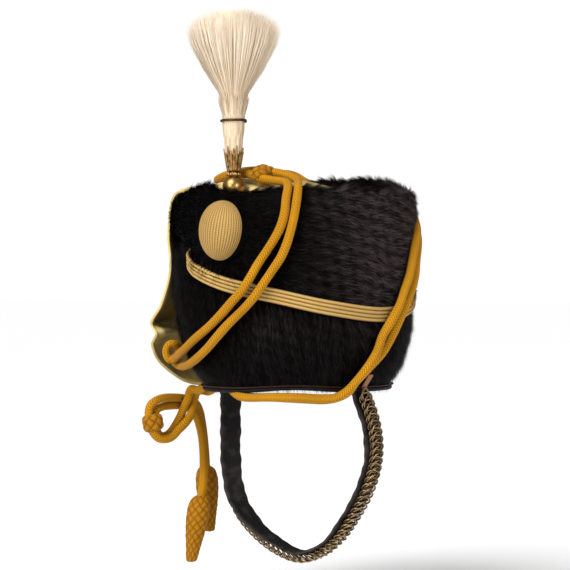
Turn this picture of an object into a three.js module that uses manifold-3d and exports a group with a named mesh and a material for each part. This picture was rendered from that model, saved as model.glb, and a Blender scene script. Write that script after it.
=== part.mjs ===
// Hussar fur busby: a fur body with a cloth bag, plume, cap lines and a chin chain.
// Millimetres. +Z is up, the front faces -Y, and the wearer's left is +X.
// The origin is the centre of the head opening, in the plane of the rim.
import * as THREE from 'three';
import { mergeVertices } from 'three/addons/utils/BufferGeometryUtils.js';
import Module from 'manifold-3d';

const wasm = await Module();
wasm.setup();

// Head and body
const rimUnderside = 0;
const furBottom = 6;
const leanPerMillimetre = 7 / 150;   // the body leans forward as it rises
const clearance = 0.4;          // gap between pieces that touch

// Outer half axes of the fur and the thickness of the wall, by height
const bodySections = [
  { up: 0, frontBack: 97, side: 82.5, wall: 2.6 },
  { up: 6, frontBack: 98, side: 83.5, wall: 2.9 },
  { up: 19, frontBack: 106, side: 93.5, wall: 9 },
  { up: 43, frontBack: 113, side: 103.5, wall: 13 },
  { up: 66, frontBack: 115.5, side: 108, wall: 14 },
  { up: 93, frontBack: 117.5, side: 111, wall: 14 },
  { up: 130, frontBack: 118, side: 112.5, wall: 14 },
  { up: 161, frontBack: 117.5, side: 112.5, wall: 14 },
  { up: 178, frontBack: 114.5, side: 109.5, wall: 13 },
  { up: 204, frontBack: 110, side: 105, wall: 12 },
];
// Height of the fur's upper edge by angle from the front toward the wearer's left
const furTopHeights = [
  { at: -95, up: 178 }, { at: -60, up: 173 }, { at: -35, up: 177.5 }, { at: -20, up: 183 }, { at: -9, up: 186 },
  { at: 3, up: 180 }, { at: 14, up: 179.5 }, { at: 24, up: 182 }, { at: 38, up: 179 }, { at: 52, up: 182 },
  { at: 75, up: 181 }, { at: 105, up: 180 }, { at: 126, up: 181 }, { at: 142, up: 189 }, { at: 160, up: 198 },
  { at: 185, up: 201 }, { at: 205, up: 199 }, { at: 225, up: 190 }, { at: 265, up: 178 },
];
const fur = {
  locks: 26, courses: 7, relief: 5, tip: 10, undercut: 1.4, valley: 1.2,
  edgeDrop: 6, edgeIn: 2.5, lipIn: 7, lipJag: 1.5, innerDrop: 5,
};
const wallHeights = [120, 66, 43, 19];   // where the inner face is stepped, from the top down

// Leather at the head opening
const sweatband = {
  thick: 1.8, height: 36, steps: 34, seat: 19, foot: 1.5, play: 0.8, rimPlay: 0.6, lipUp: 1.2,
  lipIn: 0.7, faceIn: 0.6, underIn: 2.6, rimUp: 5, weltGap: 0.2,
};
const welt = { thick: 1.2, up: 4.7, out: 0.2, steps: 36, sides: 4 };

// Cloth crown and bag: each row is a chord across the sheet, from the wearer's left over to the right.
// out is toward the wearer's right, back moves the row's middle to the rear, bow and sink draw its
// ends in and down, and tilt raises its rear end by this much for each millimetre.
const bagThick = 2.6;
const bagColumns = 10;
const bagRows = [
  { out: -91, up: 168, half: 20, back: 0, bow: 0, sink: 1, tilt: 0.03 },
  { out: -79, up: 172, half: 46, back: 0, bow: 0, sink: 2, tilt: 0.03 },
  { out: -56, up: 178, half: 78, back: 0, bow: 0, sink: 4, tilt: 0.03 },
  { out: -22, up: 186, half: 94, back: 0, bow: 0, sink: 6, tilt: 0 },
  { out: 14, up: 195, half: 96, back: 0, bow: 0, sink: 13, tilt: 0 },
  { out: 45, up: 193.5, half: 83, back: 0, bow: 0, sink: 7, tilt: 0.05 },
  { out: 69, up: 192, half: 72, back: 1, bow: 1, sink: 2.5, tilt: 0.11 },
  { out: 88, up: 192, half: 66, back: 9, bow: 6.5, sink: 2, tilt: 0.11 },
  { out: 105, up: 191, half: 65, back: 10, bow: 15, sink: 1.5, tilt: 0.1 },
  { out: 116, up: 186, half: 64, back: 12, bow: 18, sink: 1, tilt: 0.09 },
  { out: 121, up: 175, half: 64, back: 12, bow: 18.5, sink: 0, tilt: 0.05 },
  { out: 122, up: 160, half: 64, back: 12, bow: 17, sink: 0, tilt: 0 },
  { out: 122, up: 140, half: 63, back: 12, bow: 14, sink: 0, tilt: 0 },
  { out: 122.5, up: 118, half: 62, back: 12, bow: 14, sink: 0, tilt: 0 },
  { out: 127, up: 98, half: 61, back: 12, bow: 15, sink: 0, tilt: 0 },
  { out: 136, up: 79, half: 60, back: 12, bow: 14, sink: 1, tilt: 0 },
  { out: 144, up: 66, half: 60, back: 11, bow: 13, sink: 2, tilt: 0 },
  { out: 145, up: 58, half: 59, back: 11, bow: 13, sink: 2, tilt: 0 },
  { out: 140, up: 50, half: 58, back: 10, bow: 12, sink: 1, tilt: 0 },
  { out: 146, up: 40, half: 58, back: 9, bow: 13, sink: 0, tilt: 0 },
  { out: 147, up: 28, half: 54, back: 8, bow: 14, sink: -2, tilt: 0 },
  { out: 142, up: 15, half: 46, back: 8, bow: 13, sink: -4, tilt: 0 },
  { out: 131, up: 5, half: 35, back: 8, bow: 9, sink: -4, tilt: 0 },
  { out: 116, up: 1, half: 22, back: 8, bow: 4, sink: -2, tilt: 0 },
  { out: 104, up: 3, half: 10, back: 8, bow: 1, sink: 0, tilt: 0 },
];

// Ribbed braid round the body: the height of its middle by angle from the front
const braid = { width: 13.5, thick: 3, groove: 1.1, ribs: 4, steps: 38, stand: 1, edge: 0.55, back: 0.8 };
const braidHeights = [
  { at: -95, up: 138 }, { at: -45, up: 134 }, { at: -22, up: 122 }, { at: -12, up: 108 },
  { at: 5, up: 97 }, { at: 27, up: 87.5 }, { at: 54, up: 76 }, { at: 82, up: 70 },
  { at: 109, up: 76 }, { at: 140, up: 92 }, { at: 180, up: 111 }, { at: 220, up: 128 }, { at: 265, up: 138 },
];

// Domed oval boss at the front
const cockade = {
  angle: 3, up: 144, halfWide: 21.3, halfHigh: 26.5, dome: 17.4, rim: 0.6, rows: 6, steps: 24, round: 0.985,
  back: 0.97,
};

// Plume and its brass foot, on one upright axis
const plumeAxis = { x: 0, y: -97 };
const plumeSections = [
  { up: 199.5, radius: 4 }, { up: 206, radius: 5 }, { up: 214, radius: 6.4 }, { up: 221, radius: 7.4 },
  { up: 233, radius: 9.6 }, { up: 239.5, radius: 10.2 }, { up: 244.5, radius: 10.2 }, { up: 248, radius: 11 },
  { up: 266, radius: 12 }, { up: 281, radius: 18 }, { up: 297, radius: 27 }, { up: 312, radius: 36 },
  { up: 324, radius: 42 }, { up: 332, radius: 34 }, { up: 338, radius: 19 }, { up: 340.5, radius: 4 },
];
const plume = { locks: 12, flute: 0.09, tied: 0.3, tipJag: 5, tipLow: 318, tipHigh: 340 };
const plumeLoose = [[216, 236], [250, 400]];   // heights where the locks stand apart
const tie = { up: 242, radius: 11.9, wire: 0.9 };
const cup = {
  leaves: 8, bottom: 197, top: 217, tip: 3.4, bottomRadius: 5, topRadius: 8.9, wall: 0.9, floor: 1.6,
  ripple: 0.25, flare: 0.8, levels: 3,
};
const ball = {
  up: 183.4, radius: 10, beadUp: 194.3, beadRadius: 6.2, beadHalf: 1.4, beadRound: 0.4, neck: 4, top: 196.6,
  steps: 8,
};
const spike = { radius: 2.4, bottom: 160, point: 0.4, taper: 4, holeLength: 60 };

// Cap lines. A row on the body is { angle, up, out }, and a row off it is { x, y, z }.
const lineDiameter = 7;
const lineSides = 8;
const lineSteps = 68;
const frontLine = [
  { x: -89.5, y: -69.9, z: 27.6 }, { x: -84, y: -73.5, z: 31.5 }, { angle: -40, up: 35.8, out: 6 },
  { angle: -26.2, up: 39.4, out: 5.6 }, { angle: -14.8, up: 48.1, out: 5.2 },
  { angle: -4.1, up: 59.3, out: 5 }, { angle: 3.5, up: 70.2, out: 5.4 }, { angle: 10, up: 81, out: 8 },
  { angle: 14.9, up: 90.4, out: 9 }, { angle: 18.9, up: 102.4, out: 8 },
  { angle: 22.1, up: 114.4, out: 5 }, { angle: 26.1, up: 126.3, out: 4.6 },
  { angle: 29.5, up: 136.9, out: 4.6 }, { angle: 32.2, up: 147.5, out: 4.6 },
  { angle: 33.9, up: 159.5, out: 4.6 }, { angle: 34.6, up: 171.4, out: 4.6 },
  { angle: 35.5, up: 181.5, out: 0.5 }, { x: 50, y: -89, z: 186.5 }, { x: 34, y: -88.5, z: 189 },
  { x: 21, y: -87, z: 191.5 }, { x: 8, y: -83.5, z: 195 }, { x: -8, y: -80, z: 196.5 },
  { x: -26, y: -75, z: 195 }, { x: -42, y: -65, z: 193 }, { x: -56, y: -48, z: 193.5 },
  { x: -67, y: -24, z: 196 }, { x: -74, y: 8, z: 198.5 }, { x: -77, y: 42, z: 202 },
  { x: -78, y: 64, z: 203.5 }, { x: -76, y: 80, z: 201 }, { angle: 218, up: 192, out: 5 },
  { angle: 208, up: 183, out: 4.6 }, { angle: 194, up: 179, out: 7 }, { angle: 177, up: 177, out: 13.4 },
  { angle: 160, up: 177.5, out: 8 }, { angle: 138, up: 174, out: 4.6 }, { angle: 126, up: 166, out: 4.6 },
  { angle: 118.5, up: 156.5, out: 4.6 }, { angle: 113.1, up: 147.3, out: 4.6 },
  { angle: 107.1, up: 133.1, out: 4.6 }, { angle: 102.3, up: 119.2, out: 4.6 },
  { angle: 97.8, up: 105.3, out: 5 }, { angle: 92.5, up: 91.6, out: 6.4 },
  { angle: 87.6, up: 78, out: 8.8 }, { angle: 83.5, up: 64.4, out: 8 },
  { angle: 80.3, up: 50.9, out: 5.4 }, { angle: 77.5, up: 37.4, out: 8 }, { angle: 72.8, up: 24, out: 12 },
  { angle: 69.6, up: 10.3, out: 11.5 }, { angle: 66.5, up: 2, out: 9.5 },
  { angle: 61.5, up: -4.6, out: 4.6 }, { angle: 54, up: -6.4, out: 0.4 }, { angle: 44, up: -6, out: -0.7 },
  { angle: 25, up: -6, out: -1 }, { angle: -5, up: -5, out: -1 }, { angle: -35, up: -4.4, out: -1 },
  { angle: -58, up: -4.2, out: 0.5 }, { x: -83, y: -47.5, z: -1.5 }, { x: -90.5, y: -44.5, z: -0.8 },
];
const rearLine = [
  { x: -91.1, y: -63, z: 21.9 }, { x: -84.2, y: -66.8, z: 21.3 }, { angle: -40, up: 22.5, out: 6 },
  { angle: -27.4, up: 24.7, out: 6 }, { angle: -15.1, up: 31.6, out: 6 }, { angle: -6.9, up: 40.2, out: 5 },
  { angle: -0.1, up: 49.9, out: 5 }, { angle: 5.5, up: 59.5, out: 5 }, { angle: 10.5, up: 67.6, out: 5.4 },
  { angle: 16.3, up: 77, out: 7.4 }, { angle: 20.8, up: 86.4, out: 8.8 }, { angle: 24.9, up: 98.4, out: 8 },
  { angle: 28.3, up: 109, out: 6 }, { angle: 32, up: 120.5, out: 5 }, { angle: 34.4, up: 131.7, out: 4.6 },
  { angle: 36.4, up: 144.7, out: 4.6 }, { angle: 38, up: 158.6, out: 4.6 },
  { angle: 39.2, up: 171.7, out: 4.6 }, { angle: 40, up: 182.5, out: 2 }, { x: 55, y: -79, z: 189.5 },
  { x: 38, y: -76.5, z: 194.8 }, { x: 23, y: -76, z: 197 }, { x: 9, y: -73.5, z: 198.4 },
  { x: -8, y: -70.5, z: 198.6 }, { x: -23, y: -66.5, z: 198 }, { x: -36, y: -57, z: 197.4 },
  { x: -48.5, y: -42, z: 197.5 }, { x: -58.5, y: -21, z: 198 }, { x: -65, y: 8, z: 199 },
  { x: -68, y: 42, z: 202.6 }, { x: -69, y: 64, z: 204 }, { x: -66, y: 86, z: 202.5 },
  { angle: 209, up: 194.5, out: 5 }, { angle: 198, up: 189, out: 4.6 }, { angle: 186, up: 183, out: 4.6 },
  { angle: 170, up: 172, out: 4.6 }, { angle: 154, up: 164, out: 4.6 }, { angle: 138, up: 159, out: 4.6 },
  { angle: 127, up: 152.5, out: 4.6 }, { angle: 119.5, up: 144, out: 4.6 },
  { angle: 113.5, up: 132.5, out: 4.6 }, { angle: 108, up: 119.5, out: 4.6 },
  { angle: 103.8, up: 105.3, out: 5 }, { angle: 98.5, up: 91.5, out: 6.4 },
  { angle: 92.5, up: 78, out: 8.8 }, { angle: 89, up: 64.3, out: 7.6 }, { angle: 86.5, up: 50.6, out: 5.4 },
  { angle: 83, up: 37.1, out: 5 }, { angle: 76.9, up: 23.6, out: 5.2 }, { angle: 72.6, up: 9.9, out: 4.8 },
  { angle: 70, up: 1, out: 3.6 }, { angle: 65, up: -5, out: -2 }, { angle: 58, up: -8.2, out: -7 },
  { angle: 48, up: -8.6, out: -9.3 }, { angle: 27, up: -6.6, out: -9.5 },
  { angle: -5, up: -5.5, out: -9.5 }, { angle: -35, up: -5.5, out: -9.5 },
  { angle: -60, up: -4.8, out: -8 }, { x: -78, y: -36, z: -4 }, { x: -86.5, y: -33.5, z: -2.5 },
];
const frontDrop = [
  { x: -94.8, y: -42.8, z: -4.5 }, { x: -96.7, y: -41.7, z: -9.5 }, { x: -100.7, y: -42.1, z: -17.2 },
  { x: -103.3, y: -45.3, z: -26.9 }, { x: -105.4, y: -50.6, z: -35.7 }, { x: -107, y: -56.8, z: -42.2 },
  { x: -108.3, y: -63.3, z: -44.7 }, { x: -108.2, y: -71.4, z: -42.1 }, { x: -108, y: -74.9, z: -36.8 },
  { x: -107.8, y: -76, z: -30.7 }, { x: -108.7, y: -76.1, z: -23.3 }, { x: -108.8, y: -73.1, z: -19.5 },
  { x: -109, y: -65.7, z: -17.3 }, { x: -110, y: -54, z: -16.7 }, { x: -110.6, y: -40.8, z: -16.8 },
  { x: -110.4, y: -28.2, z: -18.6 }, { x: -109.5, y: -18.8, z: -23.3 }, { x: -108.6, y: -13.2, z: -30.9 },
  { x: -107.6, y: -10, z: -40.3 }, { x: -107, y: -8.3, z: -48.4 }, { x: -106.3, y: -7.7, z: -58.9 },
  { x: -105.3, y: -8.3, z: -73.6 }, { x: -104.2, y: -9.9, z: -89 }, { x: -104.6, y: -12.6, z: -102.6 },
];
const rearDrop = [
  { x: -93, y: -33, z: -4 }, { x: -96.7, y: -33, z: -12.4 }, { x: -95.7, y: -39.1, z: -25.1 },
  { x: -96.1, y: -47.5, z: -33 }, { x: -98.1, y: -55.2, z: -39.1 }, { x: -99, y: -62, z: -44.3 },
  { x: -100.3, y: -69.3, z: -46.5 }, { x: -102.6, y: -77.2, z: -45.5 }, { x: -105.2, y: -82.3, z: -40 },
  { x: -106.8, y: -84.7, z: -32.1 }, { x: -108.4, y: -85.4, z: -22.6 }, { x: -108, y: -83.7, z: -15.6 },
  { x: -107, y: -77.9, z: -11.3 }, { x: -106.8, y: -66.6, z: -9 }, { x: -106.9, y: -54.2, z: -9 },
  { x: -107.2, y: -39.6, z: -10 }, { x: -108.6, y: -24.4, z: -12.6 }, { x: -110.6, y: -12.2, z: -17.4 },
  { x: -112.9, y: -4, z: -25 }, { x: -114.5, y: 1.1, z: -34.9 }, { x: -116, y: 5, z: -44.7 },
  { x: -117, y: 8, z: -55.5 }, { x: -116.8, y: 9.3, z: -67.1 }, { x: -115.8, y: 8.8, z: -76.2 },
];
const lines = [
  { name: 'cap_line_front', rows: [...frontLine, ...frontDrop] },
  { name: 'cap_line_rear', rows: [...rearLine, ...rearDrop] },
];
const slides = [
  { name: 'crown_slide', at: { x: 22, y: -81, z: 194 }, along: [-13, 3.5, 2.6], wide: 10, deep: 8, height: 15 },
  { name: 'lower_slide', at: { x: -107.4, y: -80.4, z: -31.1 }, along: [-1.5, -3, 17.7], wide: 10.4, deep: 8, height: 17 },
];
const slideBulge = 1.4;
const slideLevels = 4;
const slideSides = 12;
const coil = {
  x: -92.2, y: -70.7, z: 34.3, facing: 0.64, halfWide: 5.5, halfHigh: 7.7, wire: 3.4, start: -114, sweep: -212, steps: 10,
};
const acorns = [
  { name: 'acorn_front', x: -105, y: -13, top: -103.2, lean: 0.14 },
  { name: 'acorn_rear', x: -115.7, y: 9, top: -77, lean: -0.05 },
];
// lean moves an acorn this much toward the wearer's right and front for each millimetre down
const acornLean = { x: -0.8, y: -0.6 };
const acornRibs = { count: 7, hollow: 0.94, close: 1 };
const acornSections = [
  { down: 0, radius: 3 }, { down: 2, radius: 6 }, { down: 6, radius: 8.8 }, { down: 12, radius: 10.1 },
  { down: 22, radius: 10.4 }, { down: 36, radius: 8.9 }, { down: 48, radius: 6.8 },
  { down: 60, radius: 4.9 }, { down: 62.4, radius: 3 },
];

// Chin strap: turn is the angle of its width from front-to-back
const strap = { width: 20, thick: 2.4 };
const chain = { width: 13, thick: 4.4 };
const strapRoute = [
  { x: -77, y: -2, z: -12, turn: 38 }, { x: -77.5, y: -2, z: -40, turn: 36 }, { x: -77.4, y: -2, z: -66, turn: 34 },
  { x: -74, y: -2, z: -92, turn: 30 }, { x: -64, y: -2, z: -113, turn: 22 }, { x: -46, y: -2, z: -130, turn: 10 },
  { x: -22, y: -2, z: -144, turn: 3 }, { x: 4, y: -2, z: -150.5, turn: 0 }, { x: 26, y: -2, z: -144.5, turn: 0 },
  { x: 45, y: -2, z: -130.5, turn: 4 }, { x: 61, y: -2, z: -111, turn: 10 }, { x: 75.5, y: -2, z: -88, turn: 16 },
  { x: 84, y: -2, z: -64, turn: 18 }, { x: 86.4, y: -4, z: -42, turn: 18 }, { x: 84, y: -8, z: -21, turn: 18 },
  { x: 80, y: -11, z: -7, turn: 18 },
];
const strapSteps = 42;
// Fittings: the hook and ring at the wearer's right, the tab and link at the wearer's left
const hook = { x: -84.5, y: -3, z: -5.2, radius: 4, wire: 0.9 };
const ring = { x: -84.5, y: -3, z: -11.8, radius: 4.8, wire: 0.9 };
const tab = { angle: 82, low: 3, high: 16, width: 4.6, thick: 1.6, out: 0.8, levels: 3 };
const link = { angle: 81, up: -1, out: 4.2, halfWide: 3.4, halfHigh: 5, wire: 1 };

const materials = {
  fur: new THREE.MeshStandardMaterial({ color: 0x17130f, roughness: 0.95 }),
  leather: new THREE.MeshStandardMaterial({ color: 0x1d1917, roughness: 0.6 }),
  weltLeather: new THREE.MeshStandardMaterial({ color: 0x5a3a22, roughness: 0.6 }),
  cloth: new THREE.MeshStandardMaterial({ color: 0xd9c98f, roughness: 0.9 }),
  braid: new THREE.MeshStandardMaterial({ color: 0xcdb877, roughness: 0.85 }),
  line: new THREE.MeshStandardMaterial({ color: 0xd08a12, roughness: 0.8 }),
  horsehair: new THREE.MeshStandardMaterial({ color: 0xf1e6cf, roughness: 0.6 }),
  brass: new THREE.MeshStandardMaterial({ color: 0x8c6f3a, roughness: 0.4, metalness: 1 }),
  tan: new THREE.MeshStandardMaterial({ color: 0xa06a4c, roughness: 0.7 }),
  wire: new THREE.MeshStandardMaterial({ color: 0x3a3128, roughness: 0.5, metalness: 1 }),
};
const group = new THREE.Group();

// Smooth value of one column of a table whose rows are in order of another column
function readTable(rows, order, column, at) {
  const last = rows.length - 1;
  if (at <= rows[0][order]) return rows[0][column];
  if (at >= rows[last][order]) return rows[last][column];
  let i = 0;
  while (rows[i + 1][order] < at) i += 1;
  const slope = (k) => {
    const a = rows[Math.max(k - 1, 0)];
    const b = rows[Math.min(k + 1, last)];
    return (b[column] - a[column]) / (b[order] - a[order]);
  };
  const span = rows[i + 1][order] - rows[i][order];
  const t = (at - rows[i][order]) / span;
  const rise = 3 * t * t - 2 * t * t * t;
  return rows[i][column] * (1 - rise) + rows[i + 1][column] * rise
    + span * (slope(i) * t * (1 - t) * (1 - t) - slope(i + 1) * t * t * (1 - t));
}

// Point on the body: angle in degrees from the front toward the wearer's left, and out from the fur
function bodyPoint(angle, up, out) {
  const turn = THREE.MathUtils.degToRad(angle);
  const frontBack = readTable(bodySections, 'up', 'frontBack', up) + out;
  const side = readTable(bodySections, 'up', 'side', up) + out;
  return new THREE.Vector3(side * Math.sin(turn), -frontBack * Math.cos(turn) - leanPerMillimetre * up, up);
}

function furTop(angle) {
  return readTable(furTopHeights, 'at', 'up', angle > 265 ? angle - 360 : angle);
}

// Closed body from rows of points: rows of one length, joined in order, with the last row joined to
// the first (around) or both end rows filled flat
function loftRows(rows, around) {
  const width = rows[0].length;
  const points = rows.flat();
  const index = [];
  const count = around ? rows.length : rows.length - 1;
  for (let i = 0; i < count; i += 1) {
    const here = i * width;
    const next = ((i + 1) % rows.length) * width;
    for (let j = 0; j < width; j += 1) {
      const side = (j + 1) % width;
      index.push(here + j, next + j, next + side, here + j, next + side, here + side);
    }
  }
  if (!around) {
    for (const [start, flip] of [[0, false], [(rows.length - 1) * width, true]]) {
      const middle = new THREE.Vector3();
      for (let j = 0; j < width; j += 1) middle.addScaledVector(points[start + j], 1 / width);
      points.push(middle);
      for (let j = 0; j < width; j += 1) {
        const a = start + j;
        const b = start + ((j + 1) % width);
        index.push(points.length - 1, flip ? b : a, flip ? a : b);
      }
    }
  }
  return facingOut(points, index);
}

// Geometry with its faces turned outward
function facingOut(points, index) {
  let volume = 0;
  for (let k = 0; k < index.length; k += 3) {
    const [a, b, c] = [points[index[k]], points[index[k + 1]], points[index[k + 2]]];
    volume += a.dot(new THREE.Vector3().crossVectors(b, c));
  }
  if (volume < 0) {
    for (let k = 0; k < index.length; k += 3) [index[k], index[k + 1]] = [index[k + 1], index[k]];
  }
  const geometry = new THREE.BufferGeometry();
  geometry.setAttribute('position', new THREE.Float32BufferAttribute(points.flatMap((p) => [p.x, p.y, p.z]), 3));
  geometry.setIndex(index);
  return geometry;
}

function solidOf(geometry) {
  const bare = geometry.clone();
  bare.deleteAttribute('normal');
  bare.deleteAttribute('uv');
  const merged = mergeVertices(bare, 1e-4);
  return new wasm.Manifold(new wasm.Mesh({
    numProp: 3,
    vertProperties: new Float32Array(merged.attributes.position.array),
    triVerts: new Uint32Array(merged.index.array),
  }));
}

function geometryOf(solid) {
  const mesh = solid.getMesh();
  const geometry = new THREE.BufferGeometry();
  geometry.setAttribute('position', new THREE.Float32BufferAttribute(mesh.vertProperties, 3));
  geometry.setIndex(Array.from(mesh.triVerts));
  return geometry;
}

function add(name, geometry, material) {
  const mesh = new THREE.Mesh(geometry, material);
  mesh.name = name;
  group.add(mesh);
  return mesh;
}

// Fur wall: each course of locks is thick at its hanging tips and thin at its roots
function makeFurBody() {
  const columns = fur.locks * 2;
  const rows = [];
  for (let i = 0; i < columns; i += 1) {
    const angle = (360 * i) / columns;
    const top = furTop(angle);
    const section = [];
    for (let k = 0; k < fur.courses; k += 1) {
      const level = furBottom + ((top - furBottom) * k) / fur.courses;
      const hanging = (i + k) % 2 === 0;
      const tip = k === 0 ? furBottom : level - (hanging ? fur.tip : 0);
      const proud = hanging || k === 0 ? 0 : -fur.valley;
      const hidden = k === 0 ? proud : -fur.relief;
      if (k > 0) section.push(bodyPoint(angle, tip - fur.undercut, hidden));
      section.push(bodyPoint(angle, tip, proud));
    }
    const jag = (i % 2 === 0 ? 1 : -1) * fur.lipJag;
    section.push(bodyPoint(angle, top - fur.edgeDrop, -fur.edgeIn));
    section.push(bodyPoint(angle, top + jag, -fur.lipIn));
    for (const up of [top - fur.innerDrop, ...wallHeights, furBottom]) {
      section.push(bodyPoint(angle, up, -readTable(bodySections, 'up', 'wall', up)));
    }
    rows.push(section);
  }
  return loftRows(rows, true);
}

// Sweatband inside the wall with a rolled binding under the fur
function makeSweatband() {
  const rows = [];
  const { thick, height, steps, seat, foot, play, rimPlay, lipUp, lipIn, faceIn, underIn, rimUp } = sweatband;
  const inside = (up, gap) => -readTable(bodySections, 'up', 'wall', up) - gap;
  for (let i = 0; i < steps; i += 1) {
    const angle = (360 * i) / steps;
    rows.push([
      bodyPoint(angle, rimUnderside, -underIn),
      bodyPoint(angle, lipUp, -lipIn),
      bodyPoint(angle, welt.up - welt.thick - sweatband.weltGap, -faceIn),
      bodyPoint(angle, rimUp, inside(furBottom, rimPlay)),
      bodyPoint(angle, seat, inside(seat, play)),
      bodyPoint(angle, height, inside(height, play)),
      bodyPoint(angle, height, inside(height, clearance + thick)),
      bodyPoint(angle, seat, inside(seat, clearance + thick)),
      bodyPoint(angle, foot, inside(furBottom, clearance + thick)),
    ]);
  }
  return loftRows(rows, true);
}

function makeWelt() {
  const rows = [];
  const { steps, sides, thick, up } = welt;
  const half = thick / 2;
  for (let i = 0; i < steps; i += 1) {
    const angle = (360 * i) / steps;
    const section = [];
    for (let j = 0; j < sides; j += 1) {
      const turn = (2 * Math.PI * j) / sides;
      section.push(bodyPoint(angle, up + half * Math.sin(turn), welt.out + half * Math.cos(turn)));
    }
    rows.push(section);
  }
  return loftRows(rows, true);
}

// Middle of the cloth sheet: along counts rows of the table and across runs from -1, rear, to 1, front
function bagPoint(along, across) {
  const rows = bagRows.map((row, i) => ({ ...row, i }));
  const value = (column) => readTable(rows, 'i', column, along);
  const up = value('up') - value('sink') * across * across - value('tilt') * value('half') * across;
  const y = value('back') - value('half') * across - leanPerMillimetre * value('up');
  return new THREE.Vector3(-value('out') + value('bow') * across * across, y, up);
}

// Sheet of even thickness about a surface given by a function of two numbers
function makeSheet(pointAt, steps, columns, low, high, thick) {
  const outer = [];
  const inner = [];
  for (let i = 0; i <= steps; i += 1) {
    for (let j = 0; j <= columns; j += 1) {
      const along = low + ((high - low) * i) / steps;
      const across = -1 + (2 * j) / columns;
      const reach = 0.02;
      const point = pointAt(along, across);
      const alongWay = pointAt(along + reach, across).sub(pointAt(along - reach, across));
      const acrossWay = pointAt(along, across + reach).sub(pointAt(along, across - reach));
      const normal = new THREE.Vector3().crossVectors(alongWay, acrossWay).normalize();
      outer.push(point.clone().addScaledVector(normal, thick / 2));
      inner.push(point.clone().addScaledVector(normal, -thick / 2));
    }
  }
  const width = columns + 1;
  const shift = outer.length;
  const index = [];
  const quad = (a, b, c, d) => index.push(a, b, c, a, c, d);
  for (let i = 0; i < steps; i += 1) {
    for (let j = 0; j < columns; j += 1) {
      const a = i * width + j;
      quad(a, a + width, a + width + 1, a + 1);
      quad(shift + a, shift + a + 1, shift + a + width + 1, shift + a + width);
    }
    const left = i * width;
    const right = left + columns;
    quad(left, shift + left, shift + left + width, left + width);
    quad(right, right + width, shift + right + width, shift + right);
  }
  const end = steps * width;
  for (let j = 0; j < columns; j += 1) {
    quad(j, j + 1, shift + j + 1, shift + j);
    quad(end + j, shift + end + j, shift + end + j + 1, end + j + 1);
  }
  return facingOut([...outer, ...inner], index);
}

function makeBag() {
  const sheet = makeSheet(bagPoint, bagRows.length - 1, bagColumns, 0, bagRows.length - 1, bagThick);
  const hole = new THREE.CylinderGeometry(spike.radius + clearance, spike.radius + clearance, spike.holeLength, 8);
  hole.rotateX(Math.PI / 2);
  hole.translate(plumeAxis.x, plumeAxis.y, ball.up);
  const seat = new THREE.SphereGeometry(ball.radius + 2 * clearance, 14, 10);
  seat.rotateX(Math.PI / 2);
  seat.translate(plumeAxis.x, plumeAxis.y, ball.up);
  return cutAway(sheet, [hole, seat]);
}

function makeBraid() {
  const rows = [];
  const { width, thick, groove, ribs, steps, stand, edge: edgeShare, back } = braid;
  for (let i = 0; i < steps; i += 1) {
    const angle = braidHeights[0].at + (360 * i) / steps;
    const middle = readTable(braidHeights, 'at', 'up', angle);
    const section = [];
    for (let j = 0; j <= ribs * 2; j += 1) {
      const across = -width / 2 + (width * j) / (ribs * 2);
      const edge = j === 0 || j === ribs * 2;
      const out = stand + (edge ? thick * edgeShare : thick) - (j % 2 === 0 && !edge ? groove : 0);
      section.push(bodyPoint(angle, middle + across, out));
    }
    section.push(bodyPoint(angle, middle + width / 2, back));
    section.push(bodyPoint(angle, middle - width / 2, back));
    rows.push(section);
  }
  return loftRows(rows, true);
}

// Domed boss worked in rows: each row is a small step down to the rim
function makeCockade() {
  const { steps, rows: count, halfWide, halfHigh, dome, rim } = cockade;
  const rows = [];
  for (let i = 0; i < steps; i += 1) {
    const turn = (2 * Math.PI * i) / steps;
    const section = [new THREE.Vector3(0, 0, rim + dome)];
    for (let k = 1; k <= count; k += 1) {
      const reach = k / count;
      const rise = rim + dome * Math.sqrt(1 - (reach * cockade.round) ** 2);
      section.push(new THREE.Vector3(halfWide * reach * Math.cos(turn), halfHigh * reach * Math.sin(turn), rise));
    }
    section.push(new THREE.Vector3(
      halfWide * cockade.back * Math.cos(turn), halfHigh * cockade.back * Math.sin(turn), 0,
    ));
    section.push(new THREE.Vector3(0, 0, 0));
    rows.push(section);
  }
  const geometry = fanned(rows);
  geometry.rotateX(Math.PI / 2);
  const foot = bodyPoint(cockade.angle, cockade.up, clearance);
  geometry.rotateZ(THREE.MathUtils.degToRad(cockade.angle));
  geometry.translate(foot.x, foot.y, foot.z);
  return geometry;
}

// Closed body of columns that all start at one point and end at another
function fanned(rows) {
  const geometry = loftRows(rows.map((row) => row.slice()), true);
  const merged = mergeVertices(geometry, 1e-4);
  const kept = [];
  const index = merged.index.array;
  for (let k = 0; k < index.length; k += 3) {
    const [a, b, c] = [index[k], index[k + 1], index[k + 2]];
    if (a !== b && b !== c && a !== c) kept.push(a, b, c);
  }
  const seen = new Map();
  for (let k = 0; k < kept.length; k += 3) {
    const key = [kept[k], kept[k + 1], kept[k + 2]].sort((p, q) => p - q).join();
    if (seen.has(key)) seen.delete(key);
    else seen.set(key, kept.slice(k, k + 3));
  }
  merged.setIndex([...seen.values()].flat());
  return merged;
}

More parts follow.
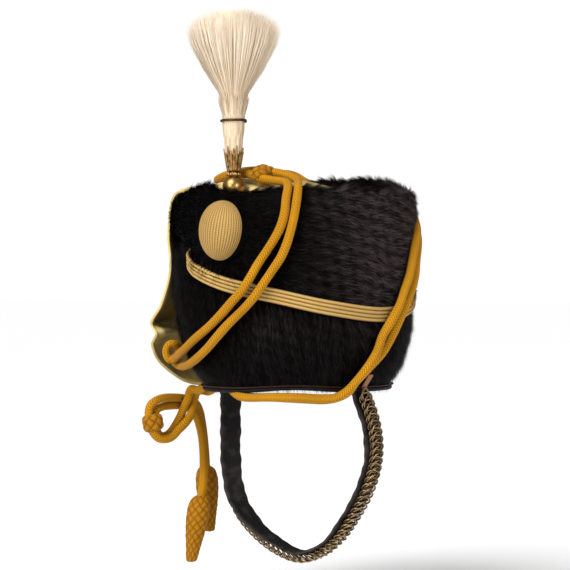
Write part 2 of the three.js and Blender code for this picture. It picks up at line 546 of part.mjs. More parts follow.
function makePlume() {
  const columns = plume.locks * 2;
  const rows = [];
  for (let i = 0; i < columns; i += 1) {
    const turn = (2 * Math.PI * i) / columns;
    const section = [new THREE.Vector3(0, 0, plumeSections[0].up)];
    for (const { up, radius } of plumeSections) {
      const loose = plumeLoose.some(([low, high]) => up > low && up < high) ? 1 : plume.tied;
      const fluted = radius * (1 + (i % 2 === 0 ? 1 : -1) * plume.flute * loose);
      const jag = up > plume.tipLow && up < plume.tipHigh && i % 2 === 0 ? plume.tipJag : 0;
      section.push(new THREE.Vector3(fluted * Math.cos(turn), fluted * Math.sin(turn), up + jag));
    }
    section.push(new THREE.Vector3(0, 0, plumeSections[plumeSections.length - 1].up + 1));
    rows.push(section);
  }
  const geometry = fanned(rows);
  geometry.translate(plumeAxis.x, plumeAxis.y, 0);
  return geometry;
}

function makeTie() {
  const geometry = new THREE.TorusGeometry(tie.radius, tie.wire, 5, 16);
  geometry.translate(plumeAxis.x, plumeAxis.y, tie.up);
  return geometry;
}

// Cup of leaves: a thin wall whose upper edge runs in points
function makeCup() {
  const columns = cup.leaves * 2;
  const rows = [];
  for (let i = 0; i < columns; i += 1) {
    const turn = (2 * Math.PI * i) / columns;
    const leaf = i % 2 === 0;
    const at = (radius, up) => new THREE.Vector3(radius * Math.cos(turn), radius * Math.sin(turn), up);
    const section = [at(0, cup.bottom)];
    const { levels, ripple, flare } = cup;
    const wall = (share) => cup.bottomRadius + (cup.topRadius - cup.bottomRadius) * share ** flare
      + (leaf ? ripple : -ripple);
    const height = (share) => cup.bottom + (cup.top + (leaf ? cup.tip : 0) - cup.bottom) * share;
    for (let k = 0; k <= levels; k += 1) section.push(at(wall(k / levels), height(k / levels)));
    for (let k = levels; k >= 1; k -= 1) section.push(at(wall(k / levels) - cup.wall, height(k / levels)));
    section.push(at(cup.bottomRadius - cup.wall, cup.bottom + cup.floor));
    section.push(at(0, cup.bottom + cup.floor));
    rows.push(section);
  }
  const geometry = fanned(rows);
  geometry.translate(plumeAxis.x, plumeAxis.y, 0);
  return geometry;
}

// Ball with its bead ring above and the spike below
function makeBall() {
  const profile = [new THREE.Vector2(0, spike.bottom), new THREE.Vector2(spike.radius * spike.point, spike.bottom)];
  profile.push(new THREE.Vector2(spike.radius, spike.bottom + spike.taper));
  const { steps } = ball;
  const low = Math.asin(spike.radius / ball.radius);
  for (let i = 0; i <= steps; i += 1) {
    const turn = -Math.PI / 2 + low + ((Math.PI - low - Math.asin(ball.neck / ball.radius)) * i) / steps;
    profile.push(new THREE.Vector2(ball.radius * Math.cos(turn), ball.up + ball.radius * Math.sin(turn)));
  }
  profile.push(new THREE.Vector2(ball.beadRadius, ball.beadUp - ball.beadHalf * ball.beadRound));
  profile.push(new THREE.Vector2(ball.beadRadius, ball.beadUp + ball.beadHalf * ball.beadRound));
  profile.push(new THREE.Vector2(ball.neck, ball.beadUp + ball.beadHalf));
  profile.push(new THREE.Vector2(ball.neck, ball.top));
  profile.push(new THREE.Vector2(0, ball.top));
  const geometry = new THREE.LatheGeometry(profile, 14);
  geometry.rotateX(Math.PI / 2);
  geometry.translate(plumeAxis.x, plumeAxis.y, 0);
  return geometry;
}

function routePoint(row) {
  return row.angle === undefined ? new THREE.Vector3(row.x, row.y, row.z) : bodyPoint(row.angle, row.up, row.out);
}

function lineCurve(rows) {
  return new THREE.CatmullRomCurve3(rows.map(routePoint), false, 'centripetal');
}

// Round cord along a curve
function makeTube(curve, steps, diameter, sides) {
  const section = new THREE.Shape();
  for (let j = 0; j < sides; j += 1) {
    const turn = (2 * Math.PI * j) / sides;
    const point = [(diameter / 2) * Math.cos(turn), (diameter / 2) * Math.sin(turn)];
    if (j === 0) section.moveTo(...point);
    else section.lineTo(...point);
  }
  section.closePath();
  return new THREE.ExtrudeGeometry(section, { steps, extrudePath: curve, curveSegments: 1 });
}

// Barrel-shaped plaited slide with the two cords running through it
function makeSlide({ at, along, wide, deep, height }) {
  const rows = [];
  const sides = slideSides;
  for (let k = 0; k <= slideLevels; k += 1) {
    const share = -1 + (2 * k) / slideLevels;
    const swell = slideBulge * (1 - share * share);
    const section = [];
    for (let j = 0; j < sides; j += 1) {
      const turn = (2 * Math.PI * j) / sides;
      const x = (wide + swell) * Math.cos(turn);
      const y = (deep + swell) * Math.sin(turn);
      section.push(new THREE.Vector3(x, y, (height / 2) * share));
    }
    rows.push(section);
  }
  const geometry = loftRows(rows, false);
  const way = new THREE.Vector3(...along).normalize();
  const side = new THREE.Vector3(0, 1, 0).addScaledVector(way, -way.y).normalize();
  const turned = new THREE.Matrix4().makeBasis(side, new THREE.Vector3().crossVectors(way, side), way);
  geometry.applyMatrix4(turned);
  geometry.translate(at.x, at.y, at.z);
  const bored = lineDiameter + 2 * clearance;
  return cutAway(geometry, lines.map((line) => makeTube(lineCurve(line.rows), lineSteps, bored, lineSides)));
}

function cutAway(geometry, cutters) {
  let solid = solidOf(geometry);
  for (const cutter of cutters) solid = solid.subtract(solidOf(cutter));
  return geometryOf(solid);
}

function makeAcorn({ x, y, top, lean }) {
  const columns = acornRibs.count * 2;
  const rows = [];
  for (let i = 0; i < columns; i += 1) {
    const turn = (2 * Math.PI * i) / columns;
    const section = [new THREE.Vector3(0, 0, 0)];
    for (const { down, radius } of acornSections) {
      const ribbed = radius * (i % 2 === 0 ? 1 : acornRibs.hollow);
      const aside = lean * down;
      section.push(new THREE.Vector3(
        ribbed * Math.cos(turn) + acornLean.x * aside, ribbed * Math.sin(turn) + acornLean.y * aside, -down,
      ));
    }
    const bottom = acornSections[acornSections.length - 1].down + acornRibs.close;
    section.push(new THREE.Vector3(acornLean.x * lean * bottom, acornLean.y * lean * bottom, -bottom));
    rows.push(section);
  }
  const geometry = fanned(rows);
  geometry.translate(x, y, top);
  return geometry;
}

// Strap and chain: a flat section carried along the route, outward being away from the loop's middle
function makeRibbon(width, thick, offset, corners, first) {
  const curve = new THREE.CatmullRomCurve3(strapRoute.map(routePoint), false, 'centripetal');
  const turns = strapRoute.map((row, i) => ({ ...row, i }));
  const rows = [];
  for (let i = first; i <= strapSteps - first; i += 1) {
    const share = i / strapSteps;
    const point = curve.getPoint(share);
    const along = curve.getTangent(share);
    const turn = THREE.MathUtils.degToRad(readTable(turns, 'i', 'turn', share * (strapRoute.length - 1)));
    const across = new THREE.Vector3(0, 1, 0).addScaledVector(along, -along.y).normalize();
    const outward = new THREE.Vector3().crossVectors(across, along).normalize();
    const side = share < 0.5 ? 1 : -1;
    across.applyAxisAngle(along, side * turn);
    outward.applyAxisAngle(along, side * turn);
    rows.push(corners.map(([w, t]) => point.clone()
      .addScaledVector(across, (w * width) / 2)
      .addScaledVector(outward, offset + (t * thick) / 2)));
  }
  return loftRows(rows, false);
}

// Small coil that both cords end in, facing forward and to the wearer's left
function makeCoil() {
  const points = [];
  const aside = new THREE.Vector3(Math.cos(coil.facing), Math.sin(coil.facing), 0);
  for (let i = 0; i <= coil.steps; i += 1) {
    const turn = THREE.MathUtils.degToRad(coil.start + (coil.sweep * i) / coil.steps);
    points.push(new THREE.Vector3(coil.x, coil.y, coil.z + coil.halfHigh * Math.sin(turn))
      .addScaledVector(aside, coil.halfWide * Math.cos(turn)));
  }
  return makeTube(new THREE.CatmullRomCurve3(points), coil.steps * 2, coil.wire * 2, 6);
}

function makeRing({ x, y, z, radius, wire }, turn) {
  const geometry = new THREE.TorusGeometry(radius, wire, 5, 12);
  geometry.rotateX(Math.PI / 2);
  geometry.rotateZ(turn);
  geometry.translate(x, y, z);
  return geometry;
}

function makeTab() {
  const rows = [];
  const { levels, out: stand } = tab;
  const half = THREE.MathUtils.radToDeg(tab.width / 2 / bodySections[1].side);
  for (let k = 0; k <= levels; k += 1) {
    const up = tab.low + ((tab.high - tab.low) * k) / levels;
    rows.push([[-half, stand], [half, stand], [half, stand + tab.thick], [-half, stand + tab.thick]]
      .map(([aside, out]) => bodyPoint(tab.angle + aside, up, out)));
  }
  return loftRows(rows, false);
}

function makeLink() {
  const geometry = new THREE.TorusGeometry(1, link.wire / link.halfHigh, 5, 12);
  geometry.scale(link.halfWide, link.halfHigh, link.halfHigh);
  geometry.rotateX(Math.PI / 2);
  geometry.rotateZ(THREE.MathUtils.degToRad(link.angle));
  const place = bodyPoint(link.angle, link.up, link.out);
  geometry.translate(place.x, place.y, place.z);
  return geometry;
}

const plate = [[-1, -1], [1, -1], [1, 1], [-1, 1]];
const flatRound = [[-1, 0], [-0.7, -1], [0.7, -1], [1, 0], [0.7, 1], [-0.7, 1]];

add('fur_body', makeFurBody(), materials.fur);
add('sweatband', makeSweatband(), materials.leather);
add('rim_welt', makeWelt(), materials.weltLeather);
add('bag', makeBag(), materials.cloth);
add('band', makeBraid(), materials.braid);
add('cockade', makeCockade(), materials.braid);
add('plume', makePlume(), materials.horsehair);
add('plume_tie', makeTie(), materials.wire);
add('plume_cup', makeCup(), materials.brass);
add('plume_ball', makeBall(), materials.brass);

for (const { name, rows } of lines) {
  add(name, makeTube(lineCurve(rows), lineSteps, lineDiameter, lineSides), materials.line);
}
for (const slide of slides) add(slide.name, makeSlide(slide), materials.line);
add('line_coil', makeCoil(), materials.line);
for (const acorn of acorns) add(acorn.name, makeAcorn(acorn), materials.line);
add('chin_strap', makeRibbon(strap.width, strap.thick, 0, plate, 0), materials.leather);
const chainOffset = (strap.thick + chain.thick) / 2 + clearance;
add('chin_chain', makeRibbon(chain.width, chain.thick, chainOffset, flatRound, 1), materials.brass);
add('right_hook', makeRing(hook, 0), materials.wire);
add('right_ring', makeRing(ring, Math.PI / 2), materials.wire);
add('left_tab', makeTab(), materials.tan);
add('left_link', makeLink(), materials.brass);

export default group;
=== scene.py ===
"""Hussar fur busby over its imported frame: fur, cloth bag, braid, plume, cap lines and chin chain.

Sizes are in millimetres until a mesh is written. The frame is the part's: +Z up, the front faces -Y,
the wearer's left is +X, and the origin is the centre of the head opening.
"""
import math

import bpy
import numpy as np
from mathutils import Matrix, Vector


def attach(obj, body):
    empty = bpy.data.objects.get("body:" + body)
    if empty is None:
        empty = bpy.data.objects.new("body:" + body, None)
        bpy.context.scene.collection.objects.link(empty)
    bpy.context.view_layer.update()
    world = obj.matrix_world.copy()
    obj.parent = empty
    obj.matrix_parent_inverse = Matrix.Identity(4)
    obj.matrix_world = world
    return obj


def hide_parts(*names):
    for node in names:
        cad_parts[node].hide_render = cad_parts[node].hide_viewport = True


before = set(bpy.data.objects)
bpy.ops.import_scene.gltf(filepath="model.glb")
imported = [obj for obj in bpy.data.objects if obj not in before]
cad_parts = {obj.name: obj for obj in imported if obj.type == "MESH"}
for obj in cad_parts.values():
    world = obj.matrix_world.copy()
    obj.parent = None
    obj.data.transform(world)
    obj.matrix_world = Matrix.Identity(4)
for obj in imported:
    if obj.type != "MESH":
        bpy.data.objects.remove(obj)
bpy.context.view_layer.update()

MM = 0.001
FULL_TURN = 2 * math.pi
seeded = np.random.default_rng(21)

# Camera, as the photograph: a long lens level with the hat, off to the wearer's left of its front
PHOTO_WIDTH = 570
PIXEL_SIZE = 0.925              # millimetres of the hat to one pixel of the photograph
CAMERA_AZIMUTH = 36.5
CAMERA_DISTANCE = 2000.0
CAMERA_ASIDE = -12.0
CAMERA_UP = 96.2
SENSOR_WIDTH = 36.0

# Light: how bright the white world is on the hat and to the camera, and the broad lamp above
WORLD_LIGHT, WORLD_SEEN = 0.27, 1.05
SUN_LIGHT, SUN_ANGLE = 3.25, 40
# Softboxes: name, metres to the photograph's right, toward the camera and up, watts, metres across
SOFTBOXES = [("key_softbox", -1.1, 1.3, 0.6, 9, 0.45), ("fill_softbox", 1.0, 1.5, 0.6, 13, 0.5)]
FLOOR_UP = -200

# Body: height, outer half axes front to back and side to side, thickness of the wall
BODY = [
    (0, 97, 82.5, 2.6), (6, 98, 83.5, 2.9), (19, 106, 93.5, 9), (43, 113, 103.5, 13), (66, 115.5, 108, 14),
    (93, 117.5, 111, 14), (130, 118, 112.5, 14), (161, 117.5, 112.5, 14), (178, 114.5, 109.5, 13),
    (204, 110, 105, 12),
]
LEAN = 7 / 150                  # the body leans forward as it rises
TABLE_START = -95               # tables by angle start at the wearer's right and go round by the front
FUR_BOTTOM = 6.0
# The lower edge is drawn up at the front of the wearer's left
RIM_ARCH = {"rise": 3.2, "angle": 38, "width": 22, "height": 25}
# Height of the fur's upper edge, by angle from the front toward the wearer's left
FUR_TOP = [
    (-95, 178), (-60, 173), (-35, 177.5), (-20, 183), (-9, 186), (3, 180), (14, 179.5), (24, 182.5),
    (36, 185), (50, 184.5), (66, 185), (82, 182.5), (105, 181.5), (126, 181), (142, 189), (160, 198),
    (185, 201), (205, 199), (225, 190), (265, 178),
]
# The pile stands higher than the body at the front of the wearer's right, and is fuller at the
# back of the wearer's left
FUR_LIP = {"rise": 2.5, "angle": -16, "width": 30}
FULLER = {"rise": 4.2, "angle": 122, "width": 20, "up": 184, "height": 26}
ROLL_RADIUS = 6.0               # of the fur's rounded upper edge
INNER_FUR = 15.0                # the fur goes this far down inside
OUTER_SHARE = 0.6               # of the skin's section, which the outer face takes

# Fur
PILE = 4.6                      # depth of the pile over the skin
# Pieces of the coat: name, hairs, length, width, points along a hair. Hairs are drawn thicker than
# real ones, so that they show.
COAT = [
    ("fur_hair_1", 54000, 11.0, 0.46, 3), ("fur_hair_2", 54000, 11.0, 0.46, 3),
    ("fur_down", 110000, 8.0, 0.34, 2),
]
TIP_TAPER = 0.62                # width of a hair just before its tip
BEND_SHARE = 0.42               # of a hair's length, which stands up before it lies over
COMBED_DOWN, COMBED_ASIDE = 76, 12      # slope of the hairs below the braid and above it
OVERHANG = (-27, 9)             # between these angles locks hang over the braid's upper edge

# Rows of the cloth: out, up, half, back, bow, sink, tilt, as the part's table has them
BAG_ROWS = [
    (-91, 168, 20, 0, 0, 1, 0.03), (-79, 172, 46, 0, 0, 2, 0.03), (-56, 178, 78, 0, 0, 4, 0.03),
    (-22, 186, 94, 0, 0, 6, 0), (14, 195, 96, 0, 0, 13, 0), (45, 193.5, 83, 0, 0, 7, 0.05),
    (69, 192, 72, 1, 1, 2.5, 0.11), (88, 192, 66, 9, 6.5, 2, 0.11), (105, 191, 65, 10, 15, 1.5, 0.1),
    (116, 186, 64, 12, 18, 1, 0.09), (121, 175, 64, 12, 18.5, 0, 0.05), (122, 160, 64, 12, 17, 0, 0),
    (122, 140, 63, 12, 14, 0, 0), (122.5, 118, 62, 12, 14, 0, 0), (127, 98, 61, 12, 15, 0, 0),
    (136, 79, 60, 12, 14, 1, 0), (144, 66, 60, 11, 13, 2, 0), (145, 58, 59, 11, 13, 2, 0),
    (140, 50, 58, 10, 12, 1, 0), (146, 40, 58, 9, 13, 0, 0), (147, 28, 54, 8, 14, -2, 0),
    (142, 15, 46, 8, 13, -4, 0), (131, 5, 35, 8, 9, -4, 0), (116, 1, 22, 8, 4, -2, 0),
    (104, 3, 10, 8, 1, 0, 0),
]
CLOTH_THICK, CLOTH_EDGE = 2.2, 0.7
FOLD = {"in": 7, "up": 52, "width": 5}  # ridge across the bag, pushed toward the hat
OUTER_FACE_SHADE = 0.35             # share of the painted shade that goes on the outer face

# Leather at the head opening
BAND_TOP = 36
WELT_UP, WELT_RADIUS = 4.7, 0.75

# Braid round the body: angle from the front, height of its middle, how far its back stands out from
# the fur, and how deep a crease it pulls in the fur. At the wearer's right it is hidden in the fur.
BRAID_ROWS = [
    (-95, 138, -13, 3), (-45, 134, -13, 3), (-30, 129, -13, 3), (-23.5, 124, -10, 3),
    (-18.5, 117.5, -1, 2.4), (-13, 109.5, 0.2, 1.6), (5, 97, 0.4, 1), (27, 87.5, 0.4, 1), (54, 76, 0, 1),
    (82, 70, -1.2, 1), (109, 76, -3.6, 1), (140, 92, -3.6, 1.4), (180, 111, -3, 2), (220, 128, -8, 4),
    (265, 138, -13, 3),
]
BRAID_WIDTH, BRAID_BACK = 13.5, 1.1
BRAID_RIBS, BRAID_STITCH, BRAID_RADIUS = 4, 2.2, 114
CREASE_WIDTH = 10.0

COCKADE = {"angle": 4.2, "up": 144, "half_wide": 21.3, "half_high": 26.5, "depth": 18, "tilt": 9}
COCKADE_ROWS, COCKADE_STITCHES = 24, 40

# Plume: the height and radius of its outer hairs, and the same for the short hairs of its sleeve,
# whose cut ends make a step above the tie
PLUME_X, PLUME_Y = 0.0, -97.0
PLUME = [
    (199.5, 4), (206, 5), (214, 6.4), (221, 7.6), (232, 9.7), (240, 9.5), (245, 9.3), (256, 11),
    (266, 12.8), (277, 19.5), (292, 30), (308, 38), (323, 44), (341, 48),
]
SLEEVE = [(205, 6.6), (232, 9.7), (245, 9.6), (250, 11.2), (264, 15.0)]
PLUME_STRANDS, SLEEVE_STRANDS = 9500, 1300
PLUME_FOOT, PLUME_TIP = 202, 342.0
SLEEVE_FOOT, SLEEVE_TOP = 212, 264.0
CORE_FOOT, CORE_HEIGHT = 200, 92
PALING_HEIGHTS = (268, 328)           # the hair goes from darker below to paler above between these heights
TIE = {"up": 242, "rise": 1.6, "radius": 11.3, "wire": 1.5}
CUP_BOTTOM, CUP_LEAVES = 197.0, 18
LEAF = {"half": 1.3, "foot": 5.3, "flare": 3.4, "height": 20, "thick": 0.5}
CUP_PROFILE = [
    (0.01, 197), (4.6, 197), (5.0, 198), (6.0, 203), (6.8, 209), (7.2, 213), (6.6, 213.2), (6.2, 209),
    (0.01, 206),
]
BALL_UP, BALL_RADIUS = 183.4, 10.0
BALL_NOTCH = 15.0               # of the cloth, round the ball's axis
BEAD_UP, BEAD_RING, BEAD_RADIUS, BEADS = 194.3, 5.6, 1.35, 14
NECK = {"radius": 4, "height": 6.4, "over": 11.6}
SPIKE = {"point": 1, "radius": 2.4, "length": 15, "under": 16}

# Cap lines, in stretches: rows on the body are (angle, up, out) and rows off it are (x, y, z)
LINE_SHOWN = 7.9                # the worked cord's crowns stand a little proud of its size
LINE_FINENESS = 40              # places between two rows
INTO_ACORN = 4                  # the line's end goes this far into its acorn
CORD_COLUMNS, CORD_PITCH = 6, 2.5
FRONT_LINE = [
    ("off", [(-93, -71.3, 26.7), (-89.3, -71.6, 28.4), (-84.3, -74, 30.2)]),
    ("on", [(-40, 33, 6), (-26.2, 38.8, 5.6), (-14.8, 48.1, 5.2), (-4.1, 59.3, 5), (3.5, 70.2, 5.4),
        (10, 81, 8), (14.9, 90.4, 9), (18.9, 102.4, 8), (22.1, 114.4, 5), (26.1, 126.3, 4.6),
        (29.5, 136.9, 4.6), (32.2, 147.5, 4.6), (33.9, 159.5, 4.6), (34.6, 171.4, 4.6), (35.5, 181.5, 0.5)]),
    ("off", [(50, -89, 186.5), (34, -88.5, 189), (21, -87, 191.5), (8, -83.5, 195), (-8, -80, 196.5),
        (-26, -75, 195), (-42, -65, 193), (-56, -48, 193.5), (-67, -24, 196), (-74, 8, 198.5),
        (-77, 42, 202), (-78, 64, 203.5), (-76, 80, 201)]),
    ("on", [(218, 192, 5), (208, 183, 4.6), (194, 179, 7), (177, 177, 13.4), (160, 177.5, 8),
        (142, 170, -2), (130, 159, -3), (120.5, 150.5, -1), (113.6, 142, 1), (107.1, 131, 2.4),
        (102.3, 119.2, 3.6), (97.8, 105.3, 5), (92.5, 91.6, 6.4), (87.6, 78, 8.8), (83.5, 64.4, 8),
        (80.3, 50.9, 5.4), (77.5, 37.4, 8), (72.8, 24, 12), (69.6, 10.3, 11.5), (66.5, 2, 9.5),
        (61.5, -3.6, 4.6), (54, -4.4, 0.4), (44, -3.4, -0.7), (25, -3, -1), (6, -3.2, -1.5), (-12, 4, -11),
        (-30, 7, -13), (-50, 7, -10)]),
    ("off", [(-80.5, -47.5, -1.5), (-90.5, -44.5, -0.8), (-94.8, -42.8, -4.5), (-96.7, -41.7, -9.5),
        (-100.7, -42.1, -17.2), (-103.3, -45.3, -26.9), (-105.4, -50.6, -35.7), (-107, -56.8, -42.2),
        (-108.3, -63.3, -44.7), (-108.2, -71.4, -42.1), (-108, -74.9, -36.8), (-107.8, -76, -30.7),
        (-108.7, -76.1, -23.3), (-108.8, -73.1, -19.5), (-109, -65.7, -17.3), (-110, -54, -16.7),
        (-110.6, -40.8, -16.8), (-110.4, -28.2, -18.6), (-109.5, -18.8, -23.3), (-108.6, -13.2, -30.9),
        (-107.6, -10, -40.3), (-107, -8.3, -48.4), (-106.3, -7.7, -58.9), (-105.3, -8.3, -73.6),
        (-104.2, -9.9, -89), (-104.6, -12.6, -102.6)]),
]
REAR_LINE = [
    ("off", [(-98, -60, 24.5), (-91.1, -63, 21.9), (-84.2, -66.8, 21.3)]),
    ("on", [(-40, 22.5, 6), (-27.4, 24.7, 6), (-15.1, 31.6, 6), (-6.9, 40.2, 5), (-0.1, 49.9, 5),
        (5.5, 59.5, 5), (10.5, 67.6, 5.4), (16.3, 77, 7.4), (20.8, 86.4, 8.8), (24.9, 98.4, 8),
        (28.3, 109, 6), (32, 120.5, 5), (34.4, 131.7, 4.6), (36.4, 144.7, 4.6), (38, 158.6, 4.6),
        (39.2, 171.7, 4.6), (40, 182.5, 2)]),
    ("off", [(55, -79, 189.5), (38, -76.5, 194.8), (23, -76, 197), (9, -73.5, 198.4), (-8, -70.5, 198.6),
        (-23, -66.5, 198), (-36, -57, 197.4), (-48.5, -42, 197.5), (-58.5, -21, 198), (-65, 8, 199),
        (-68, 42, 202.6), (-69, 64, 204), (-66, 86, 202.5)]),
    ("on", [(209, 194.5, 5), (198, 189, 4.6), (186, 183, 4.6), (170, 172, 4.6), (154, 164, 1.5),
        (139, 156.5, -2), (128, 148.5, -2), (120, 140, 0), (113.5, 130.5, 1.6), (108, 119.5, 3.2),
        (103.8, 105.3, 5), (98.5, 91.5, 6.4), (92.5, 78, 8.8), (89, 64.3, 7.6), (86.5, 50.6, 5.4),
        (83, 37.1, 5), (76.9, 23.6, 5.2), (72.6, 9.9, 4.8), (70, 1, 3.6), (65, -4, -2), (58, -6, -7),
        (48, -5.4, -9.3), (27, -3.6, -9.5), (6, -3, -10), (-12, 4, -19), (-34, 7, -21), (-52, 6, -18)]),
    ("off", [(-76, -37, -3), (-86.5, -33.5, -2.5), (-93, -33, -4), (-96.7, -33, -12.4),
        (-95.7, -39.1, -25.1), (-96.1, -47.5, -33), (-98.1, -55.2, -39.1), (-99, -62, -44.3),
        (-100.3, -69.3, -46.5), (-102.6, -77.2, -45.5), (-105.2, -82.3, -40), (-106.8, -84.7, -32.1),
        (-108.4, -85.4, -22.6), (-108, -83.7, -15.6), (-107, -77.9, -11.3), (-106.8, -66.6, -9),
        (-106.9, -54.2, -9), (-107.2, -39.6, -10), (-108.6, -24.4, -12.6), (-110.6, -12.2, -17.4),
        (-112.9, -4, -25), (-114.5, 1.1, -34.9), (-116, 5, -44.7), (-117, 8, -55.5), (-116.8, 9.3, -67.1),
        (-115.8, 8.8, -76.2)]),
]
COIL = {
    "centre": (-92.2, -70.7, 34.3), "facing": 0.64, "half_wide": 5.5, "half_high": 7.7, "start": -92,
    "sweep": -285, "tuck": 8, "width": 7.6,
}
SLIDES = [
    ("crown_slide", (22, -81, 194), (-13, 3.5, 2.6), 10, 8, 15),
    ("lower_slide", (-107.4, -80.4, -31.1), (-1.5, -3, 17.7), 9.6, 7.6, 17),
]
SLIDE = {"columns": 6, "pitch": 9.6, "groove": 1.5, "full": 1.4}
# Acorns: name, x, y, top and how much they lean as they go down
ACORNS = [("acorn_front", -105, -13, -103.2, 0.14), ("acorn_rear", -115.7, 9, -77, -0.05)]
ACORN = {"columns": 8, "pitch": 8.6, "groove": 0.85, "full": 0.5, "lean": (-0.8, -0.6)}
ACORN_PROFILE = [
    (0, 3), (2, 6.4), (6, 9), (12, 10.3), (22, 10.4), (36, 8.9), (48, 6.9), (60, 5.1), (62.6, 4), (63.4, 1),
]

# Chin strap: x, y, z and the turn of its width from front to back
STRAP_ROUTE = [
    (-76.2, -2, -3, 38), (-77, -2, -12, 38), (-77.5, -2, -40, 36), (-77.4, -2, -66, 34), (-74, -2, -92, 30),
    (-64, -2, -113, 22), (-46, -2, -130, 10), (-22, -2, -144, 3), (4, -2, -150.5, 0), (26, -2, -144.5, 0),
    (45, -2, -130.5, 4), (61, -2, -111, 10), (75.5, -2, -88, 16), (84, -2, -64, 18), (86.4, -4, -42, 18),
    (84, -8, -21, 18), (80, -11, -7, 18), (77, -12, 2, 18),
]
STRAP_WIDTH, STRAP_THICK, STRAP_HEM = 20.0, 2.4, 0.5
LINK_PITCH = 3.1                # from one ring of the chain to the next
LINK_RADIUS, LINK_WIRE = 5.8, 0.9
LINK_STAND = 3.9                # from the strap's face to the middle of the rings
LINK_TILT, LINK_ROLL = 30, 25   # slope and sideways lean that let the rings pass through each other
# Fittings that carry the strap
HOOK_AT, RING_AT = (-84.5, -3, -5.2), (-84.5, -3, -11.8)
END_LINK_AT = (81.0, -1.0, 4.2)  # angle, height and how far out
TAB = {
    "angle": 82, "turn": 3.2, "low": 3, "height": 13, "out": 1.6, "bulge": 0.5, "thick": 1.6, "edge": 0.4,
}


# Reading the tables, and smooth shapes
def read_rows(rows, column, at):
    """Smooth reading of a table by its first column, as the part reads it."""
    table = np.array(rows, float)
    place, value = table[:, 0], table[:, column]
    last = len(place) - 1
    at = np.clip(at, place[0], place[-1])
    i = np.clip(np.searchsorted(place, at) - 1, 0, last - 1)
    before = np.maximum(np.arange(last + 1) - 1, 0)
    after = np.minimum(np.arange(last + 1) + 1, last)
    slope = (value[after] - value[before]) / (place[after] - place[before])
    span = place[i + 1] - place[i]
    t = (at - place[i]) / span
    rise = 3 * t * t - 2 * t**3
    smooth = value[i] * (1 - rise) + value[i + 1] * rise
    return smooth + span * (slope[i] * t * (1 - t) ** 2 - slope[i + 1] * t * t * (1 - t))


def eased(value):
    """Rises from 0 to 1 with the value, level at both ends."""
    value = np.clip(value, 0, 1)
    return value * value * (3 - 2 * value)


def hump(value, middle, width):
    """A smooth hump, 1 at its middle."""
    return np.exp(-(((value - middle) / width) ** 2))


def away(angle, middle):
    """Degrees from the middle to an angle, the shorter way round."""
    return (np.asarray(angle) - middle + 180) % 360 - 180


def unit(vectors):
    return vectors / np.linalg.norm(vectors, axis=-1, keepdims=True)


def body_point(angle, up, out):
    """Place on the body's outline, out from it, by angle from the front toward the wearer's left."""
    turn = np.radians(angle)
    front_back = read_rows(BODY, 1, up) + out
    side = read_rows(BODY, 2, up) + out
    return np.stack([side * np.sin(turn), -front_back * np.cos(turn) - LEAN * up, up + 0 * turn], -1)


def in_table(angle):
    return (np.asarray(angle) - TABLE_START) % 360 + TABLE_START


def fur_top(angle):
    ragged = 0.9 * np.sin(np.radians(angle) * 37 + 1) * np.sin(np.radians(angle) * 23)
    at = in_table(angle)
    lip = FUR_LIP["rise"] * hump(at, FUR_LIP["angle"], FUR_LIP["width"])
    return read_rows(FUR_TOP, 1, at) + ragged + lip


def braid_row(angle, column):
    return read_rows(BRAID_ROWS, column, in_table(angle))


def braid_up(angle):
    return braid_row(angle, 1)


def swell(angle, up):
    """Slow unevenness of the fur, in millimetres."""
    turn = np.radians(angle)
    slow = np.sin(3 * turn + up / 31 + 0.4) + np.sin(5 * turn - up / 24 + 2.1)
    quick = np.sin(11 * turn + up / 9 + 1.2) * np.cos(7 * turn - up / 13)
    full = hump(away(angle, FULLER["angle"]), 0, FULLER["width"]) * hump(up, FULLER["up"], FULLER["height"])
    return 0.8 * slow + 0.7 * quick + FULLER["rise"] * full


def arched(angle, up):
    """A height near the rim, drawn up where the lower edge is."""
    fading = 1 - np.clip(up / RIM_ARCH["height"], 0, 1)
    return up + RIM_ARCH["rise"] * hump(away(angle, RIM_ARCH["angle"]), 0, RIM_ARCH["width"]) * fading


def round_plume(radius, turn, up):
    """Places at a radius from the plume's axis."""
    return np.stack([PLUME_X + radius * np.cos(turn), PLUME_Y + radius * np.sin(turn), up + 0 * turn], -1)


# Mesh helpers
def deselect():
    bpy.ops.object.select_all(action="DESELECT")


def pick(piece):
    """Selects one piece and nothing else."""
    deselect()
    bpy.context.view_layer.objects.active = piece
    piece.select_set(True)


def settle():
    """Puts what is selected at the origin, unturned and unscaled."""
    bpy.ops.object.transform_apply(location=True, rotation=True, scale=True)


def in_edit_mode(piece, *steps):
    """Runs mesh operators, each a function, on all of a piece."""
    pick(piece)
    bpy.ops.object.mode_set(mode="EDIT")
    bpy.ops.mesh.select_all(action="SELECT")
    for step in steps:
        step()
    bpy.ops.object.mode_set(mode="OBJECT")


def weld():
    bpy.ops.mesh.remove_doubles(threshold=1e-6)
    bpy.ops.mesh.dissolve_degenerate(threshold=1e-7)


def fill_ends():
    bpy.ops.mesh.select_all(action="DESELECT")
    bpy.ops.mesh.select_non_manifold(extend=False)
    bpy.ops.mesh.edge_face_add()
    bpy.ops.mesh.select_all(action="SELECT")


def face_outward():
    bpy.ops.mesh.normals_make_consistent(inside=False)


def close_up(piece):
    """Welds the seam of a rolled sheet and fills its two ends."""
    in_edit_mode(piece, weld, fill_ends, face_outward)


def modify(piece, kind, **settings):
    """Adds a modifier and applies it."""
    pick(piece)
    modifier = piece.modifiers.new(kind.lower(), kind)
    for key, value in settings.items():
        setattr(modifier, key, value)
    bpy.ops.object.modifier_apply(modifier=modifier.name)


def points_of(piece):
    spots = np.zeros(len(piece.data.vertices) * 3, np.float32)
    piece.data.vertices.foreach_get("co", spots)
    return spots.reshape(-1, 3)


